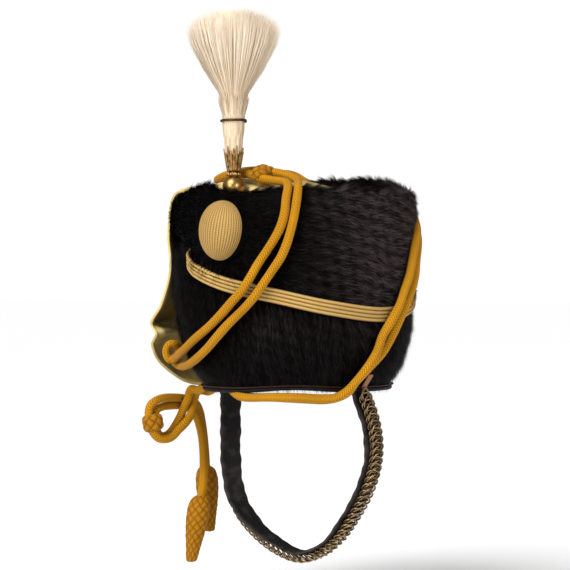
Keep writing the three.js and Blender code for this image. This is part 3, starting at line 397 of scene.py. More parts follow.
def place_points(piece, points):
    """Moves a piece's points to places in millimetres."""
    piece.data.vertices.foreach_set("co", (points * MM).astype(np.float32).ravel())
    piece.data.update()


def paint(piece, name, values):
    """One number for each point, for a material to read."""
    layer = piece.data.attributes.new(name, "FLOAT", "POINT")
    layer.data.foreach_set("value", np.asarray(values, np.float32))


def finished(piece, name, material, slot, *nodes):
    """Names a piece, dresses it and puts it on the hat in place of CAD nodes."""
    pick(piece)
    settle()
    piece.name = name
    piece.data.name = name
    piece.data.materials.clear()
    piece.data.materials.append(material)
    bpy.ops.object.shade_smooth()
    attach(piece, "root")
    if nodes:
        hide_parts(*nodes)
    return piece


def sheet_of(across, along, place, weave=(1, 1), attribute=None):
    """Grid primitive moved to place(u, v), each from 0 to 1. Its map counts columns and stitches. Where
    an attribute is named, place also gives its values."""
    deselect()
    bpy.ops.mesh.primitive_grid_add(x_subdivisions=across, y_subdivisions=along, size=1)
    piece = bpy.context.object
    spots = points_of(piece) + 0.5
    placed = place(spots[:, 0], spots[:, 1])
    if attribute:
        placed, values = placed
        paint(piece, attribute, values)
    place_points(piece, placed)
    layer = piece.data.uv_layers.active
    places = np.zeros(len(layer.data) * 2, np.float32)
    layer.data.foreach_get("uv", places)
    places = places.reshape(-1, 2) * np.array(weave)
    layer.data.foreach_set("uv", places.astype(np.float32).ravel())
    return piece


def ring_of(around, section, place):
    """Torus primitive moved to place(turn, share): turn runs round it and share round its section."""
    deselect()
    bpy.ops.mesh.primitive_torus_add(
        major_segments=around, minor_segments=section, major_radius=1, minor_radius=0.25
    )
    piece = bpy.context.object
    x, y, z = points_of(piece).T
    turn = np.arctan2(y, x) / FULL_TURN % 1
    share = np.arctan2(z, np.hypot(x, y) - 1) / FULL_TURN % 1
    place_points(piece, place(turn, share))
    return piece


def mesh_of(points, corners, totals):
    """A new object with these points in millimetres and these faces."""
    mesh = bpy.data.meshes.new("piece")
    mesh.vertices.add(len(points))
    mesh.vertices.foreach_set("co", (points * MM).astype(np.float32).ravel())
    mesh.loops.add(len(corners))
    mesh.loops.foreach_set("vertex_index", corners.astype(np.int32))
    mesh.polygons.add(len(totals))
    starts = np.concatenate([[0], np.cumsum(totals)[:-1]])
    mesh.polygons.foreach_set("loop_start", starts.astype(np.int32))
    mesh.polygons.foreach_set("loop_total", totals.astype(np.int32))
    mesh.update(calc_edges=True)
    made = bpy.data.objects.new("piece", mesh)
    bpy.context.scene.collection.objects.link(made)
    return made


def copied(piece, matrices):
    """Takes a piece and joins a copy of it for each matrix, in millimetres, into a single mesh."""
    mesh = piece.data
    spots = points_of(piece) / MM
    corners = np.zeros(len(mesh.loops), np.int32)
    mesh.loops.foreach_get("vertex_index", corners)
    totals = np.zeros(len(mesh.polygons), np.int32)
    mesh.polygons.foreach_get("loop_total", totals)
    every = [spots @ np.array(m.to_3x3()).T + np.array(m.translation) for m in matrices]
    shifts = np.arange(len(matrices))[:, None] * len(spots)
    bpy.data.objects.remove(piece)
    return mesh_of(np.concatenate(every), (corners[None] + shifts).ravel(), np.tile(totals, len(matrices)))


def blades(lines, sides, widths):
    """Many tapering hairs, and the points in each: lines is hairs by points by 3, the tip last."""
    count, levels = lines.shape[:2]
    taper = np.linspace(1, TIP_TAPER, levels - 1)[None, :, None]
    half = sides[:, None, :] * (widths[:, None, None] / 2) * taper
    points = np.concatenate([lines[:, :-1] - half, lines[:, :-1] + half, lines[:, -1:]], 1)
    width = 2 * (levels - 1) + 1
    start = np.arange(count)[:, None] * width
    rows = [start + np.array([[k, levels - 1 + k, levels + k, k + 1]]) for k in range(levels - 2)]
    tips = start + np.array([[levels - 2, 2 * levels - 3, 2 * levels - 2]])
    corners = np.concatenate([*rows, tips], 1).ravel()
    totals = np.tile(np.array([4] * (levels - 2) + [3]), count)
    return mesh_of(points.reshape(-1, 3), corners, totals), width


# Materials
def hex_colour(code):
    """Linear colour of an sRGB hex value."""
    parts = [int(code[i:i + 2], 16) / 255 for i in (1, 3, 5)]
    linear = [p / 12.92 if p <= 0.04045 else ((p + 0.055) / 1.055) ** 2.4 for p in parts]
    return (*linear, 1.0)


def new_tree(name):
    material = bpy.data.materials.new(name)
    material.use_nodes = True
    material.node_tree.nodes.clear()
    return material, material.node_tree


def node(tree, kind, inputs=None, **settings):
    """Adds a shader node with its settings. Its inputs are sockets, nodes, hex colours or plain values."""
    made = tree.nodes.new("ShaderNode" + kind)
    for key, value in settings.items():
        setattr(made, key, value)
    for key, value in (inputs or {}).items():
        if isinstance(value, bpy.types.Node):
            value = value.outputs[0]
        if isinstance(value, bpy.types.NodeSocket):
            tree.links.new(value, made.inputs[key])
        else:
            made.inputs[key].default_value = hex_colour(value) if isinstance(value, str) else value
    return made


MIX_FACTOR, MIX_A, MIX_B, MIX_RESULT = 0, 6, 7, 2
# Sizes of the patterns. Fibres are finer than the photograph shows, so they are drawn as tufts.
FELT_TUFT = 1.667
LEATHER_WEAR = 11.11
WOOL_TUFT, WOOL_SOIL = 1.111, 45.45
YARN_TUFT, YARN_FADING = 0.7143, 33.33
BRASS_STAIN = 3.846


def hair_material(name, dark, light, roughness, gloss):
    """Hairs from dark to light, by the shade painted on each."""
    material, tree = new_tree(name)
    shade = node(tree, "Attribute", attribute_name="shade")
    colour = node(
        tree, "Mix", {MIX_FACTOR: shade.outputs["Fac"], MIX_A: dark, MIX_B: light},
        data_type="RGBA",
    )
    shader = node(tree, "BsdfPrincipled", {
        "Base Color": colour.outputs[MIX_RESULT], "Roughness": roughness, "Specular IOR Level": gloss,
    })
    node(tree, "OutputMaterial", {"Surface": shader})
    return material


def felt_material():
    """Undercoat and stiff body under the fur: matte black felt, so that gaps between hairs read dark."""
    material, tree = new_tree("black_felt_body")
    place = node(tree, "TexCoord").outputs["Object"]
    tufts = node(tree, "TexNoise", {"Vector": place, "Scale": 1 / (FELT_TUFT * MM), "Detail": 4.0})
    bump = node(tree, "Bump", {"Height": tufts, "Strength": 0.5, "Distance": 0.6 * MM})
    colour = node(
        tree, "Mix", {MIX_FACTOR: tufts, MIX_A: "#030303", MIX_B: "#0c0a0a"},
        data_type="RGBA",
    )
    shader = node(tree, "BsdfPrincipled", {
        "Base Color": colour.outputs[MIX_RESULT], "Roughness": 0.9, "Specular IOR Level": 0.08,
        "Normal": bump,
    })
    node(tree, "OutputMaterial", {"Surface": shader})
    return material


def leather_material(name, dark, light, roughness, grain):
    """Tanned leather: a fine pebbled grain, with worn places and edges that are lighter and smoother."""
    material, tree = new_tree(name)
    place = node(tree, "TexCoord").outputs["Object"]
    pebbles = node(tree, "TexVoronoi", {"Vector": place, "Scale": 1 / (grain * MM)})
    wear = node(tree, "TexNoise", {"Vector": place, "Scale": 1 / (LEATHER_WEAR * MM), "Detail": 5.0})
    edge = node(tree, "Attribute", attribute_name="edge")
    rubbed = node(
        tree, "Math", {0: edge.outputs["Fac"], 1: 0.3, 2: wear}, operation="MULTIPLY_ADD",
    )
    worn = node(tree, "MapRange", {"Value": rubbed, "From Min": 0.5, "From Max": 0.95})
    colour = node(
        tree, "Mix", {MIX_FACTOR: worn, MIX_A: dark, MIX_B: light}, data_type="RGBA",
    )
    dull = node(tree, "MapRange", {"Value": worn, "To Min": roughness + 0.1, "To Max": roughness - 0.1})
    bump = node(tree, "Bump", {"Height": pebbles, "Strength": 0.35, "Distance": 0.3 * MM})
    shader = node(tree, "BsdfPrincipled", {
        "Base Color": colour.outputs[MIX_RESULT], "Roughness": dull, "Specular IOR Level": 0.18,
        "Normal": bump,
    })
    node(tree, "OutputMaterial", {"Surface": shader})
    return material


def cloth_material():
    """Milled buff wool: a felted face with loose fibres, darkened toward olive by painted shade where the
    bag hangs and by random soil blotches.
    """
    material, tree = new_tree("buff_wool_cloth")
    place = node(tree, "TexCoord").outputs["Object"]
    tufts = node(tree, "TexNoise", {
        "Vector": place, "Scale": 1 / (WOOL_TUFT * MM), "Detail": 6.0, "Roughness": 0.7,
    })
    blotch = node(tree, "TexNoise", {"Vector": place, "Scale": 1 / (WOOL_SOIL * MM), "Detail": 4.0})
    # Painted shade, painted on the bag's points, with random soil blotches added
    shade_painted_per_point = node(tree, "Attribute", attribute_name="painted_shade_and_soil")
    painted_shade_and_soil = node(
        tree, "Math", {0: shade_painted_per_point.outputs["Fac"], 1: 0.42, 2: blotch}, operation="MULTIPLY_ADD",
    )
    shade_and_soil_mix = node(tree, "MapRange", {"Value": painted_shade_and_soil, "From Min": 0.48, "From Max": 0.95})
    clean = node(
        tree, "Mix", {MIX_FACTOR: tufts, MIX_A: "#c4a65c", MIX_B: "#e8d396"},
        data_type="RGBA",
    )
    # The olive #6e5410 is where painted shade and soil blotches take the cloth
    colour = node(
        tree, "Mix",
        {MIX_FACTOR: shade_and_soil_mix, MIX_A: clean.outputs[MIX_RESULT], MIX_B: "#6e5410"},
        data_type="RGBA",
    )
    bump = node(tree, "Bump", {"Height": tufts, "Strength": 0.6, "Distance": 0.4 * MM})
    shader = node(tree, "BsdfPrincipled", {
        "Base Color": colour.outputs[MIX_RESULT], "Roughness": 0.92, "Specular IOR Level": 0.1,
        "Sheen Weight": 0.03, "Sheen Roughness": 0.6, "Normal": bump,
    })
    node(tree, "OutputMaterial", {"Surface": shader})
    return material


def yarn_material(name, deep, pale, groove, depth, worked=None):
    """Worsted yarn: pale crowns, with painted shade in the grooves between them, where the colour goes to
    the groove colour. worked gives the slant of its stitches and how much the columns and the stitches show,
    and without it the piece is painted with its plait."""
    material, tree = new_tree(name)
    if worked is None:
        high = node(tree, "Attribute", attribute_name="worked").outputs["Fac"]
    else:
        slant, ribbed, stitched = worked
        own_map = node(tree, "UVMap", uv_map="UVMap")
        column, along = node(tree, "SeparateXYZ", {0: own_map}).outputs[:2]
        fold = node(tree, "Math", {0: column, 1: 1.0}, operation="PINGPONG")
        phase = node(tree, "Math", {0: fold, 1: slant, 2: along}, operation="MULTIPLY_ADD")
        heights = []
        for value, weight in ((phase, stitched), (column, ribbed)):
            turn = node(tree, "Math", {0: value, 1: math.pi}, operation="MULTIPLY")
            wave = node(tree, "Math", {0: turn}, operation="SINE")
            crest = node(tree, "Math", {0: wave}, operation="ABSOLUTE")
            shown = {0: crest, 1: weight, 2: 1 - weight}
            heights.append(node(tree, "Math", shown, operation="MULTIPLY_ADD"))
        crown = node(tree, "Math", {0: heights[0], 1: heights[1]}, operation="MULTIPLY")
        high = node(tree, "Math", {0: crown, 1: 0.5}, operation="POWER")
    place = node(tree, "TexCoord").outputs["Object"]
    tufts = node(tree, "TexNoise", {"Vector": place, "Scale": 1 / (YARN_TUFT * MM), "Detail": 4.0})
    fading = node(tree, "TexNoise", {"Vector": place, "Scale": 1 / (YARN_FADING * MM), "Detail": 3.0})
    tone = node(
        tree, "Mix", {MIX_FACTOR: fading, MIX_A: deep, MIX_B: pale},
        data_type="RGBA",
    )
    # Painted shade: low places of the worked surface take the groove colour
    lit = node(tree, "MapRange", {"Value": high, "From Min": 0.15, "From Max": 0.95})
    colour = node(
        tree, "Mix", {MIX_FACTOR: lit, MIX_A: groove, MIX_B: tone.outputs[MIX_RESULT]},
        data_type="RGBA",
    )
    relief = node(tree, "Bump", {"Height": high, "Strength": 0.7, "Distance": depth * MM})
    bump = node(tree, "Bump", {
        "Height": tufts, "Strength": 0.4, "Distance": 0.2 * MM, "Normal": relief,
    })
    shader = node(tree, "BsdfPrincipled", {
        "Base Color": colour.outputs[MIX_RESULT], "Roughness": 0.75, "Specular IOR Level": 0.12,
        "Sheen Weight": 0.03, "Sheen Roughness": 0.5, "Normal": bump,
    })
    node(tree, "OutputMaterial", {"Surface": shader})
    return material


def metal_material(name, dark, bright, roughness, patina):
    """Old brass: bright where it is rubbed, brown where it has tarnished, with fine scuffs."""
    material, tree = new_tree(name)
    place = node(tree, "TexCoord").outputs["Object"]
    stain = node(tree, "TexNoise", {
        "Vector": place, "Scale": 1 / (BRASS_STAIN * MM), "Detail": 6.0, "Roughness": 0.65,
    })
    tarnish = node(tree, "MapRange", {
        "Value": stain, "From Min": 0.5 - patina, "From Max": 0.8 - patina,
    })
    colour = node(
        tree, "Mix", {MIX_FACTOR: tarnish, MIX_A: bright, MIX_B: dark}, data_type="RGBA",
    )
    dull = node(tree, "MapRange", {"Value": tarnish, "To Min": roughness, "To Max": roughness + 0.25})
    bump = node(tree, "Bump", {"Height": stain, "Strength": 0.25, "Distance": 0.2 * MM})
    shader = node(tree, "BsdfPrincipled", {
        "Base Color": colour.outputs[MIX_RESULT], "Metallic": 1.0, "Roughness": dull,
        "Normal": bump,
    })
    node(tree, "OutputMaterial", {"Surface": shader})
    return material


# Dyed fur: near-black hairs, lightened to brown-grey in places by painted sheen, with a soft gloss along
# them
FUR = hair_material("dyed_short_fur", "#020202", "#564b49", 0.45, 0.035)
# Washed horsehair: smooth, slightly glossy hairs from ivory to white, yellowed in streaks
HORSEHAIR = hair_material("white_horsehair", "#a8824a", "#f1e3cd", 0.5, 0.3)
FELT = felt_material()
# Bound edge and sweatband: dull black leather with little wear
BINDING = leather_material("black_binding_leather", "#070606", "#191514", 0.55, 0.9)
# Welt: a matte brown edge, a shade lighter than the fur over it
WELT = leather_material("brown_welt_leather", "#2a150d", "#4e2d1e", 0.6, 0.7)
# Chin strap: black leather, rubbed grey along its edges
STRAP = leather_material("black_strap_leather", "#0b0909", "#3b3230", 0.6, 1.1)
# Tab: undyed leather, gone tan and dry with handling
TAN = leather_material("tan_tab_leather", "#8a5c44", "#c79a7c", 0.65, 0.8)
CLOTH = cloth_material()
# Braid: straw-coloured worsted woven in straight ribs, with painted shade in the grooves between them
STRAW = yarn_material("straw_worsted_braid", "#9d7b3e", "#c3a060", "#463313", 0.4, (0.6, 0.85, 0.3))
# Cockade: the same worsted knitted in rows, a little darker than the braid and with darker grooves and
# clearer stitches, as painted shade
KNIT = yarn_material("straw_knitted_cover", "#97763c", "#c09b5c", "#33240c", 0.5, (0.6, 0.85, 0.5))
# Cap lines: golden worsted in a tight round plait, so that only its slanted stitches show, with painted
# shade between them
GOLD = yarn_material("golden_worsted_cord", "#a36e05", "#c68b0d", "#5a3602", 0.4, (1.3, 0.3, 1.0))
# Slides and acorns: the same worsted in a thicker flat plait, in darker colours than the cords as painted
# shade, with painted shade where strands pass under each other
SHADED_GOLD_KNOT = yarn_material("shaded_golden_worsted_plait", "#8e5d03", "#a67005", "#754803", 0.5)
# Ball: turned brass, polished by handling over a thin brown tarnish
BRASS = metal_material("antique_brass", "#5c4426", "#b08a50", 0.3, 0.05)
# Cup: pressed brass, worn brown in patches
CUP_BRASS = metal_material("worn_cup_brass", "#4a3014", "#b48d58", 0.35, 0.12)
# Chain: brass wire gone nearly black, bright only where rings rub
CHAIN_METAL = metal_material("tarnished_chain_brass", "#2f261c", "#927b5a", 0.38, 0.08)
# Wire of the tie and the hook, and the plain cup between its leaves: dark tarnish with few bright spots
WIRE = metal_material("dark_tarnished_wire", "#1c1712", "#57462f", 0.4, 0.12)


# Camera
def photo_directions():
    """The photograph's right, and the way from the hat toward the camera."""
    azimuth = math.radians(CAMERA_AZIMUTH)
    right = Vector((math.cos(azimuth), math.sin(azimuth), 0))
    return right, Vector((math.sin(azimuth), -math.cos(azimuth), 0))


def add_camera():
    right, toward = photo_directions()
    target = right * CAMERA_ASIDE + Vector((0, 0, CAMERA_UP))
    spot = target + toward * CAMERA_DISTANCE
    lens = bpy.data.cameras.new("photo_camera")
    lens.sensor_width = SENSOR_WIDTH
    lens.lens = SENSOR_WIDTH * CAMERA_DISTANCE / (PIXEL_SIZE * PHOTO_WIDTH)
    lens.clip_end = 50
    camera = bpy.data.objects.new("photo_camera", lens)
    camera.location = spot * MM
    camera.rotation_euler = (target - spot).to_track_quat("-Z", "Y").to_euler()
    bpy.context.scene.collection.objects.link(camera)
    bpy.context.scene.camera = camera


add_camera()


# Cords: one smooth line through the route's points, then a worked surface round it
def route(stretches):
    """Places of a cap line's rows."""
    return [
        np.array(Vector(row)) if kind == "off" else body_point(*map(float, row))
        for kind, rows in stretches for row in rows
    ]


def between(t, start, end, first, last):
    return ((end - t) * first + (t - start) * last) / (end - start)


def through(spots):
    """Centripetal line through places, as an array of places close together."""
    spots = [2 * spots[0] - spots[1], *spots, 2 * spots[-1] - spots[-2]]
    out = []
    for p0, p1, p2, p3 in zip(spots, spots[1:], spots[2:], spots[3:]):
        gaps = [max(np.linalg.norm(b - a), 1e-6) ** 0.5 for a, b in ((p0, p1), (p1, p2), (p2, p3))]
        t0, t1, t2, t3 = np.cumsum([0.0, *gaps])
        t = np.linspace(t1, t2, LINE_FINENESS, endpoint=False)[:, None]
        middle = between(t, t1, t2, p1, p2)
        before = between(t, t0, t2, between(t, t0, t1, p0, p1), middle)
        after = between(t, t1, t3, middle, between(t, t2, t3, p2, p3))
        out.append(between(t, t1, t2, before, after))
    out.append(spots[-2][None])
    return np.concatenate(out)


def length_of(line):
    return np.linalg.norm(np.diff(line, axis=0), axis=1).sum()


def even(line, step):
    """The same line with points a step apart."""
    gaps = np.linalg.norm(np.diff(line, axis=0), axis=1)
    run = np.concatenate([[0], np.cumsum(gaps)])
    at = np.linspace(0, run[-1], max(int(round(run[-1] / step)), 2) + 1)
    return np.stack([np.interp(at, run, line[:, k]) for k in range(3)], 1)


def directions_across(line):
    """Two directions across a line, turned as little as possible along it."""
    ahead = unit(np.gradient(line, axis=0))
    across = np.zeros_like(line)
    side = np.array((0.3, 0.2, 1.0))
    for k, way in enumerate(ahead):
        side = side - way * (side @ way)
        side = side / np.linalg.norm(side)
        across[k] = side
    return across, np.cross(ahead, across)


def chevron(column, along, slant):
    """Height from 0 to 1 of worked yarn: stitches slant one way and the other in columns side by side."""
    fold = 1 - np.abs(column % 2 - 1)
    stitch = np.abs(np.sin(math.pi * (along + slant * fold)))
    ridge = np.abs(np.sin(math.pi * column))
    return np.sqrt(stitch * (0.45 + 0.55 * ridge))


def plaited(column, along):
    """Height from 0 to 1 of flat strands that cross over and under each other on two slants."""
    rising, falling = column + along, column - along
    over = (np.floor(rising) + np.floor(falling)) % 2 < 1
    first, second = np.abs(np.sin(math.pi * rising)), np.abs(np.sin(math.pi * falling))
    return np.where(over, first**0.7 * second**0.2, first**0.2 * second**0.7)


def corded(line, width, sides=24, step=1.0, relief=0.3):
    """Worked round cord along a line, closed at both ends."""
    line = even(line, step)
    across, aside = directions_across(line)
    length = length_of(line)
    run = np.linspace(0, length, len(line))
    last = len(line) - 1

    def place(u, v):
        k = np.clip(np.rint(v * last).astype(int), 0, last)
        turn = FULL_TURN * u
        height = chevron(u * CORD_COLUMNS, run[k] / CORD_PITCH, 1.0)
        cap = np.where((k == 0) | (k == last), 0.3, 1.0)
        uneven = 1 + 0.025 * np.sin(run[k] / 17) + 0.02 * np.sin(run[k] / 7.3 + 2)
        radius = (width / 2 * uneven - relief * (1 - height)) * cap
        return line[k] + radius[:, None] * (
            np.cos(turn)[:, None] * across[k] + np.sin(turn)[:, None] * aside[k]
        )

    piece = sheet_of(sides, last, place, (CORD_COLUMNS, length / CORD_PITCH))
    close_up(piece)
    return piece


def add_line(side, stretches):
    """Cap line from the coil round the hat to its acorn."""
    line = through(route(stretches))
    line = np.concatenate([line, line[-1:] + INTO_ACORN * unit(line[-1:] - line[-9:-8])])
    piece = finished(corded(line, LINE_SHOWN), side + "_cord", GOLD, "line_cord", "cap_line_" + side)


def add_coil():
    """Small loop where the lines start, its end tucked back under the front one."""
    share = np.linspace(0, 1, 48)
    turn = np.radians(COIL["start"] + COIL["sweep"] * share)
    aside = np.array([math.cos(COIL["facing"]), math.sin(COIL["facing"]), 0])
    line = np.array(COIL["centre"]) + COIL["half_wide"] * np.cos(turn)[:, None] * aside
    line[:, 2] += COIL["half_high"] * np.sin(turn)
    line += COIL["tuck"] * eased((share - 0.6) / 0.4)[:, None] * np.array([-0.6, 0.8, 0])
    finished(corded(line, COIL["width"]), "coil_cord", GOLD, "line_cord", "line_coil")


def add_slide(name, at, along, wide, deep, height):
    """Sleeve plaited in thick bands round both lines."""
    way = Vector(along).normalized()
    side = (Vector((0, 1, 0)) - way * way.y).normalized()
    turned = np.array((side, way.cross(side), way))

    def place(u, v):
        share = 2 * v - 1
        turn = FULL_TURN * u
        rounded = 1 - 0.5 * np.clip((np.abs(share) - 0.5) / 0.5, 0, 1) ** 2
        worked = plaited(u * SLIDE["columns"], v * height / SLIDE["pitch"])
        low = SLIDE["groove"] * (1 - worked)
        x = ((wide + SLIDE["full"]) * rounded - low) * np.cos(turn)
        y = ((deep + SLIDE["full"]) * rounded - low) * np.sin(turn)
        return np.stack([x, y, height / 2 * share], 1) @ turned + np.array(at), worked

    piece = sheet_of(96, 48, place, attribute="worked")
    close_up(piece)
    finished(piece, name + "_knot", SHADED_GOLD_KNOT, "line_cord", name)


def add_acorn(name, x, y, top, lean):
    """Acorn worked over in flat plait, full above and tapering below."""
    lean_x, lean_y = ACORN["lean"]

    def place(u, v):
        down = ACORN_PROFILE[-1][0] * v
        turn = FULL_TURN * u
        full = read_rows(ACORN_PROFILE, 1, down)
        worked = plaited(u * ACORN["columns"], down / ACORN["pitch"])
        low = ACORN["groove"] * (1 - worked) * np.clip(full / 6, 0, 1)
        radius = np.maximum(full + ACORN["full"] - low, 0.4)
        across = x + lean_x * lean * down + radius * np.cos(turn)
        back = y + lean_y * lean * down + radius * np.sin(turn)
        return np.stack([across, back, top - down], 1), worked

    piece = sheet_of(100, 120, place, attribute="worked")
    close_up(piece)
    finished(piece, name + "_plait", SHADED_GOLD_KNOT, "line_cord", name)


for acorn_row in ACORNS:
    add_acorn(*acorn_row)
for slide_row in SLIDES:
    add_slide(*slide_row)
add_coil()
add_line("front", FRONT_LINE)
add_line("rear", REAR_LINE)


# Fur
def fur_place(angle, share, depth):
    """Place on the fur's outer face, its rounded top and its inner face, depth below the hair tips."""
    wall = fur_top(angle) - ROLL_RADIUS - FUR_BOTTOM
    roll = math.pi * ROLL_RADIUS
    run = share * (wall + roll + INNER_FUR)
    phase = np.clip((run - wall) / roll, 0, 1) * math.pi
    inward = np.maximum(run - wall - roll, 0)
    radius = ROLL_RADIUS - depth
    up = FUR_BOTTOM + np.minimum(run, wall) + radius * np.sin(phase) - inward
    out = -depth * (phase <= 0) + (phase > 0) * (radius * np.cos(phase) - ROLL_RADIUS)
    out = out + swell(angle, up) * np.clip((up - FUR_BOTTOM) / 20, 0, 1)
    out = out - braid_row(angle, 3) * hump(up, braid_up(angle), CREASE_WIDTH) * (phase <= 0)
    return body_point(angle, arched(angle, up), out), up, phase


def add_skin():
    """Stiff body and undercoat: the hollow wall that the hairs stand on."""
    def place(turn, share):
        angle = 360 * turn
        spot, _, _ = fur_place(angle, np.clip(share / OUTER_SHARE, 0, 1), PILE)
        top = fur_top(angle) - INNER_FUR
        up = top + (FUR_BOTTOM - top) * np.clip((share - OUTER_SHARE) / (1 - OUTER_SHARE), 0, 1)
        inner = body_point(angle, up, -read_rows(BODY, 3, up))
        return np.where((share < OUTER_SHARE)[:, None], spot, inner)

    piece = ring_of(144, 84, place)
    in_edit_mode(piece, weld, face_outward)
    finished(piece, "fur_skin", FELT, "fur", "fur_body")


def fur_directions(angle, share):
    """Directions on the fur: round the body, up it and outward."""
    one_way, other = fur_place(angle + 0.4, share, PILE)[0], fur_place(angle - 0.4, share, PILE)[0]
    around = unit(one_way - other)
    above, below = fur_place(angle, share + 0.004, PILE)[0], fur_place(angle, share - 0.004, PILE)[0]
    rising = unit(above - below)
    return around, rising, unit(np.cross(around, rising))


def add_hair(name, count, length, width, levels):
    """Short hairs, combed to the wearer's left above the braid and downward below it."""
    angle = seeded.uniform(0, 360, count)
    share = seeded.uniform(0, 1, count)
    turn = np.radians(angle)
    facing = away(angle, 0)
    tall = fur_place(angle, share, PILE)[1] - braid_up(angle)
    # Locks that hang over the braid's upper edge at the front
    ragged = np.sin(47 * turn) + np.sin(83 * turn + 1) + 0.8 * np.sin(131 * turn + 2)
    at_edge = np.abs(tall - BRAID_WIDTH / 2 - 2) < 3.5
    overhang = at_edge & (ragged > 0.5) & (facing > OVERHANG[0]) & (facing < OVERHANG[1])
    root, up, phase = fur_place(angle, share, np.where(overhang, 0.8, PILE + 0.6))
    around, rising, outward = fur_directions(angle, share)

    # Comb: which way each hair lies, in degrees below the level, with slow drifts
    above = eased(tall / 18 + 0.2)
    drift = np.sin(6 * turn + up / 19) + 0.7 * np.sin(13 * turn - up / 11 + 1)
    down = COMBED_DOWN * (1 - above) + COMBED_ASIDE * above + 10 * drift + seeded.normal(0, 8, count)
    down = np.radians(np.where(overhang, 80 + 25 * seeded.normal(0, 1, count), down))
    comb = around * np.cos(down)[:, None] - rising * np.sin(down)[:, None]

    # Lift: how far each hair stands off the body, in clumps and with curls at the crown's rear left
    clump = 0.6 * np.sin(31 * turn + up / 3.1) * np.sin(17 * turn - up / 4.3)
    clump = clump + 0.4 * np.sin(67 * turn - up / 2.3 + 2) * np.sin(43 * turn + up / 2.9)
    curl = (phase > 0.2) * eased((np.cos(np.radians(angle - 150)) - 0.1) * 2)
    size = length * seeded.uniform(0.75, 1.15, count) * (1 + 0.35 * overhang)
    low = np.clip(40 + 10 * clump + 12 * overhang + seeded.normal(0, 8, count), 12, 80)
    high = np.clip(11 + 12 * clump + 30 * curl * clump + seeded.normal(0, 9, count), -14, 70)
    spots = [root]
    for part, lift in ((BEND_SHARE, np.radians(low)), (1 - BEND_SHARE, np.radians(high))):
        way = comb * np.cos(lift)[:, None] + outward * np.sin(lift)[:, None]
        spots.append(spots[-1] + part * size[:, None] * way)
    if levels == 2:
        del spots[1]

    # No hair stands under the shown braid or the cockade
    shown = (braid_row(angle, 2) > -4) & (phase == 0)
    under_braid = shown & (np.abs(tall) < BRAID_WIDTH / 2 - 1)
    face = body_point(float(COCKADE["angle"]), float(COCKADE["up"]), 0.0)
    aside = (root[:, 0] - face[0]) / COCKADE["half_wide"]
    rise = (root[:, 2] - face[2]) / COCKADE["half_high"]
    under_boss = (np.hypot(aside, rise) < 0.86) & (root[:, 1] < 0)
    keep = ~(under_braid | under_boss)
    sides = unit(np.cross(comb, outward))[keep]
    piece, points = blades(np.stack(spots, 1)[keep], sides, width * seeded.uniform(0.7, 1.2, keep.sum()))

    # Shade: painted sheen, lighter at the wearer's left and back and in a patch below the braid near the
    # front, in streaks that follow the comb; where there is no painted sheen the streaks are random tone
    painted_sheen = eased((facing - 32) / 50) * eased((175 - facing) / 45) * eased((up - 30) / 80)
    painted_sheen = painted_sheen + 0.25 * hump(facing, 22, 18) * hump(tall, -22, 14)
    sideways = np.sin(up * 2.9 + 4 * np.sin(11 * turn)) * np.sin(19 * turn + up * 0.8)
    upright = np.sin(140 * turn + 3 * np.sin(up / 6)) * np.sin(up / 4 + 37 * turn)
    streak = above * sideways + (1 - above) * upright + clump
    tone = 0.02 + 0.2 * painted_sheen + (0.06 + 0.45 * painted_sheen) * streak + seeded.normal(0, 0.04 + 0.1 * painted_sheen, count)
    paint(piece, "shade", np.repeat(np.clip(tone[keep], 0, 1), points))
    finished(piece, name, FUR, "fur")


add_skin()
for coat_row in COAT:
    add_hair(*coat_row)


# Leather at the head opening
def closed_section(profile, share):
    """Place round a closed list of points, by share of the points."""
    table = np.array(profile + profile[:1], float)
    at = share * (len(table) - 1)
    return [np.interp(at, np.arange(len(table)), table[:, k]) for k in (0, 1)]


def add_sweatband():
    """Binding that turns under the rim, and the band up the inside, as one strip with a round edge."""
    low, middle, high = (float(read_rows(BODY, 3, float(up))) for up in (6, 19, BAND_TOP))
    profile = [
        (-2.6, 0.0), (-1.2, 0.2), (-0.6, 1.2), (-0.5, 2.4), (-0.9, 3.2), (-low - 0.6, 5.0),
        (-middle - 0.8, 19), (-high - 0.8, BAND_TOP), (-high - 1.6, BAND_TOP + 0.3), (-high - 2.4, BAND_TOP),
        (-middle - 2.4, 19), (-low - 2.6, 5), (-low - 2.2, 1.6), (-low - 1.0, 0.4),
    ]

    def place(turn, share):
        out, up = closed_section(profile, share)
        angle = 360 * turn
        ripple = 0.35 * np.sin(np.radians(angle) * 23) * np.sin(np.radians(angle) * 9 + up / 6)
        return body_point(angle, arched(angle, up), out + ripple * (up > 6))

    piece = ring_of(180, 42, place)
    in_edit_mode(piece, face_outward)
    finished(piece, "binding_and_sweatband", BINDING, "binding_leather", "sweatband")


def add_welt():
    """Thin round edge between the fur and the binding."""
    def place(turn, share):
        section = FULL_TURN * share
        up = WELT_UP + WELT_RADIUS * np.sin(section)
        return body_point(360 * turn, arched(360 * turn, up), 0.1 + WELT_RADIUS * np.cos(section))

    piece = ring_of(180, 10, place)
    in_edit_mode(piece, face_outward)
    finished(piece, "brown_welt", WELT, "welt_leather", "rim_welt")


add_sweatband()
add_welt()


# Cloth crown and bag
def bag_place(across, along):
    """Place on the smooth cloth, from its front edge to its rear one and from left to right along it."""
    rows = [(i, *row) for i, row in enumerate(BAG_ROWS)]
    at = along * (len(BAG_ROWS) - 1)
    out, up, half, back, bow, sink, tilt = (read_rows(rows, k, at) for k in range(1, 8))
    side = 1 - 2 * across
    y = back - half * side - LEAN * up
    z = up - sink * side * side - tilt * half * side
    return np.stack([-out + bow * side * side, y, z], 1)


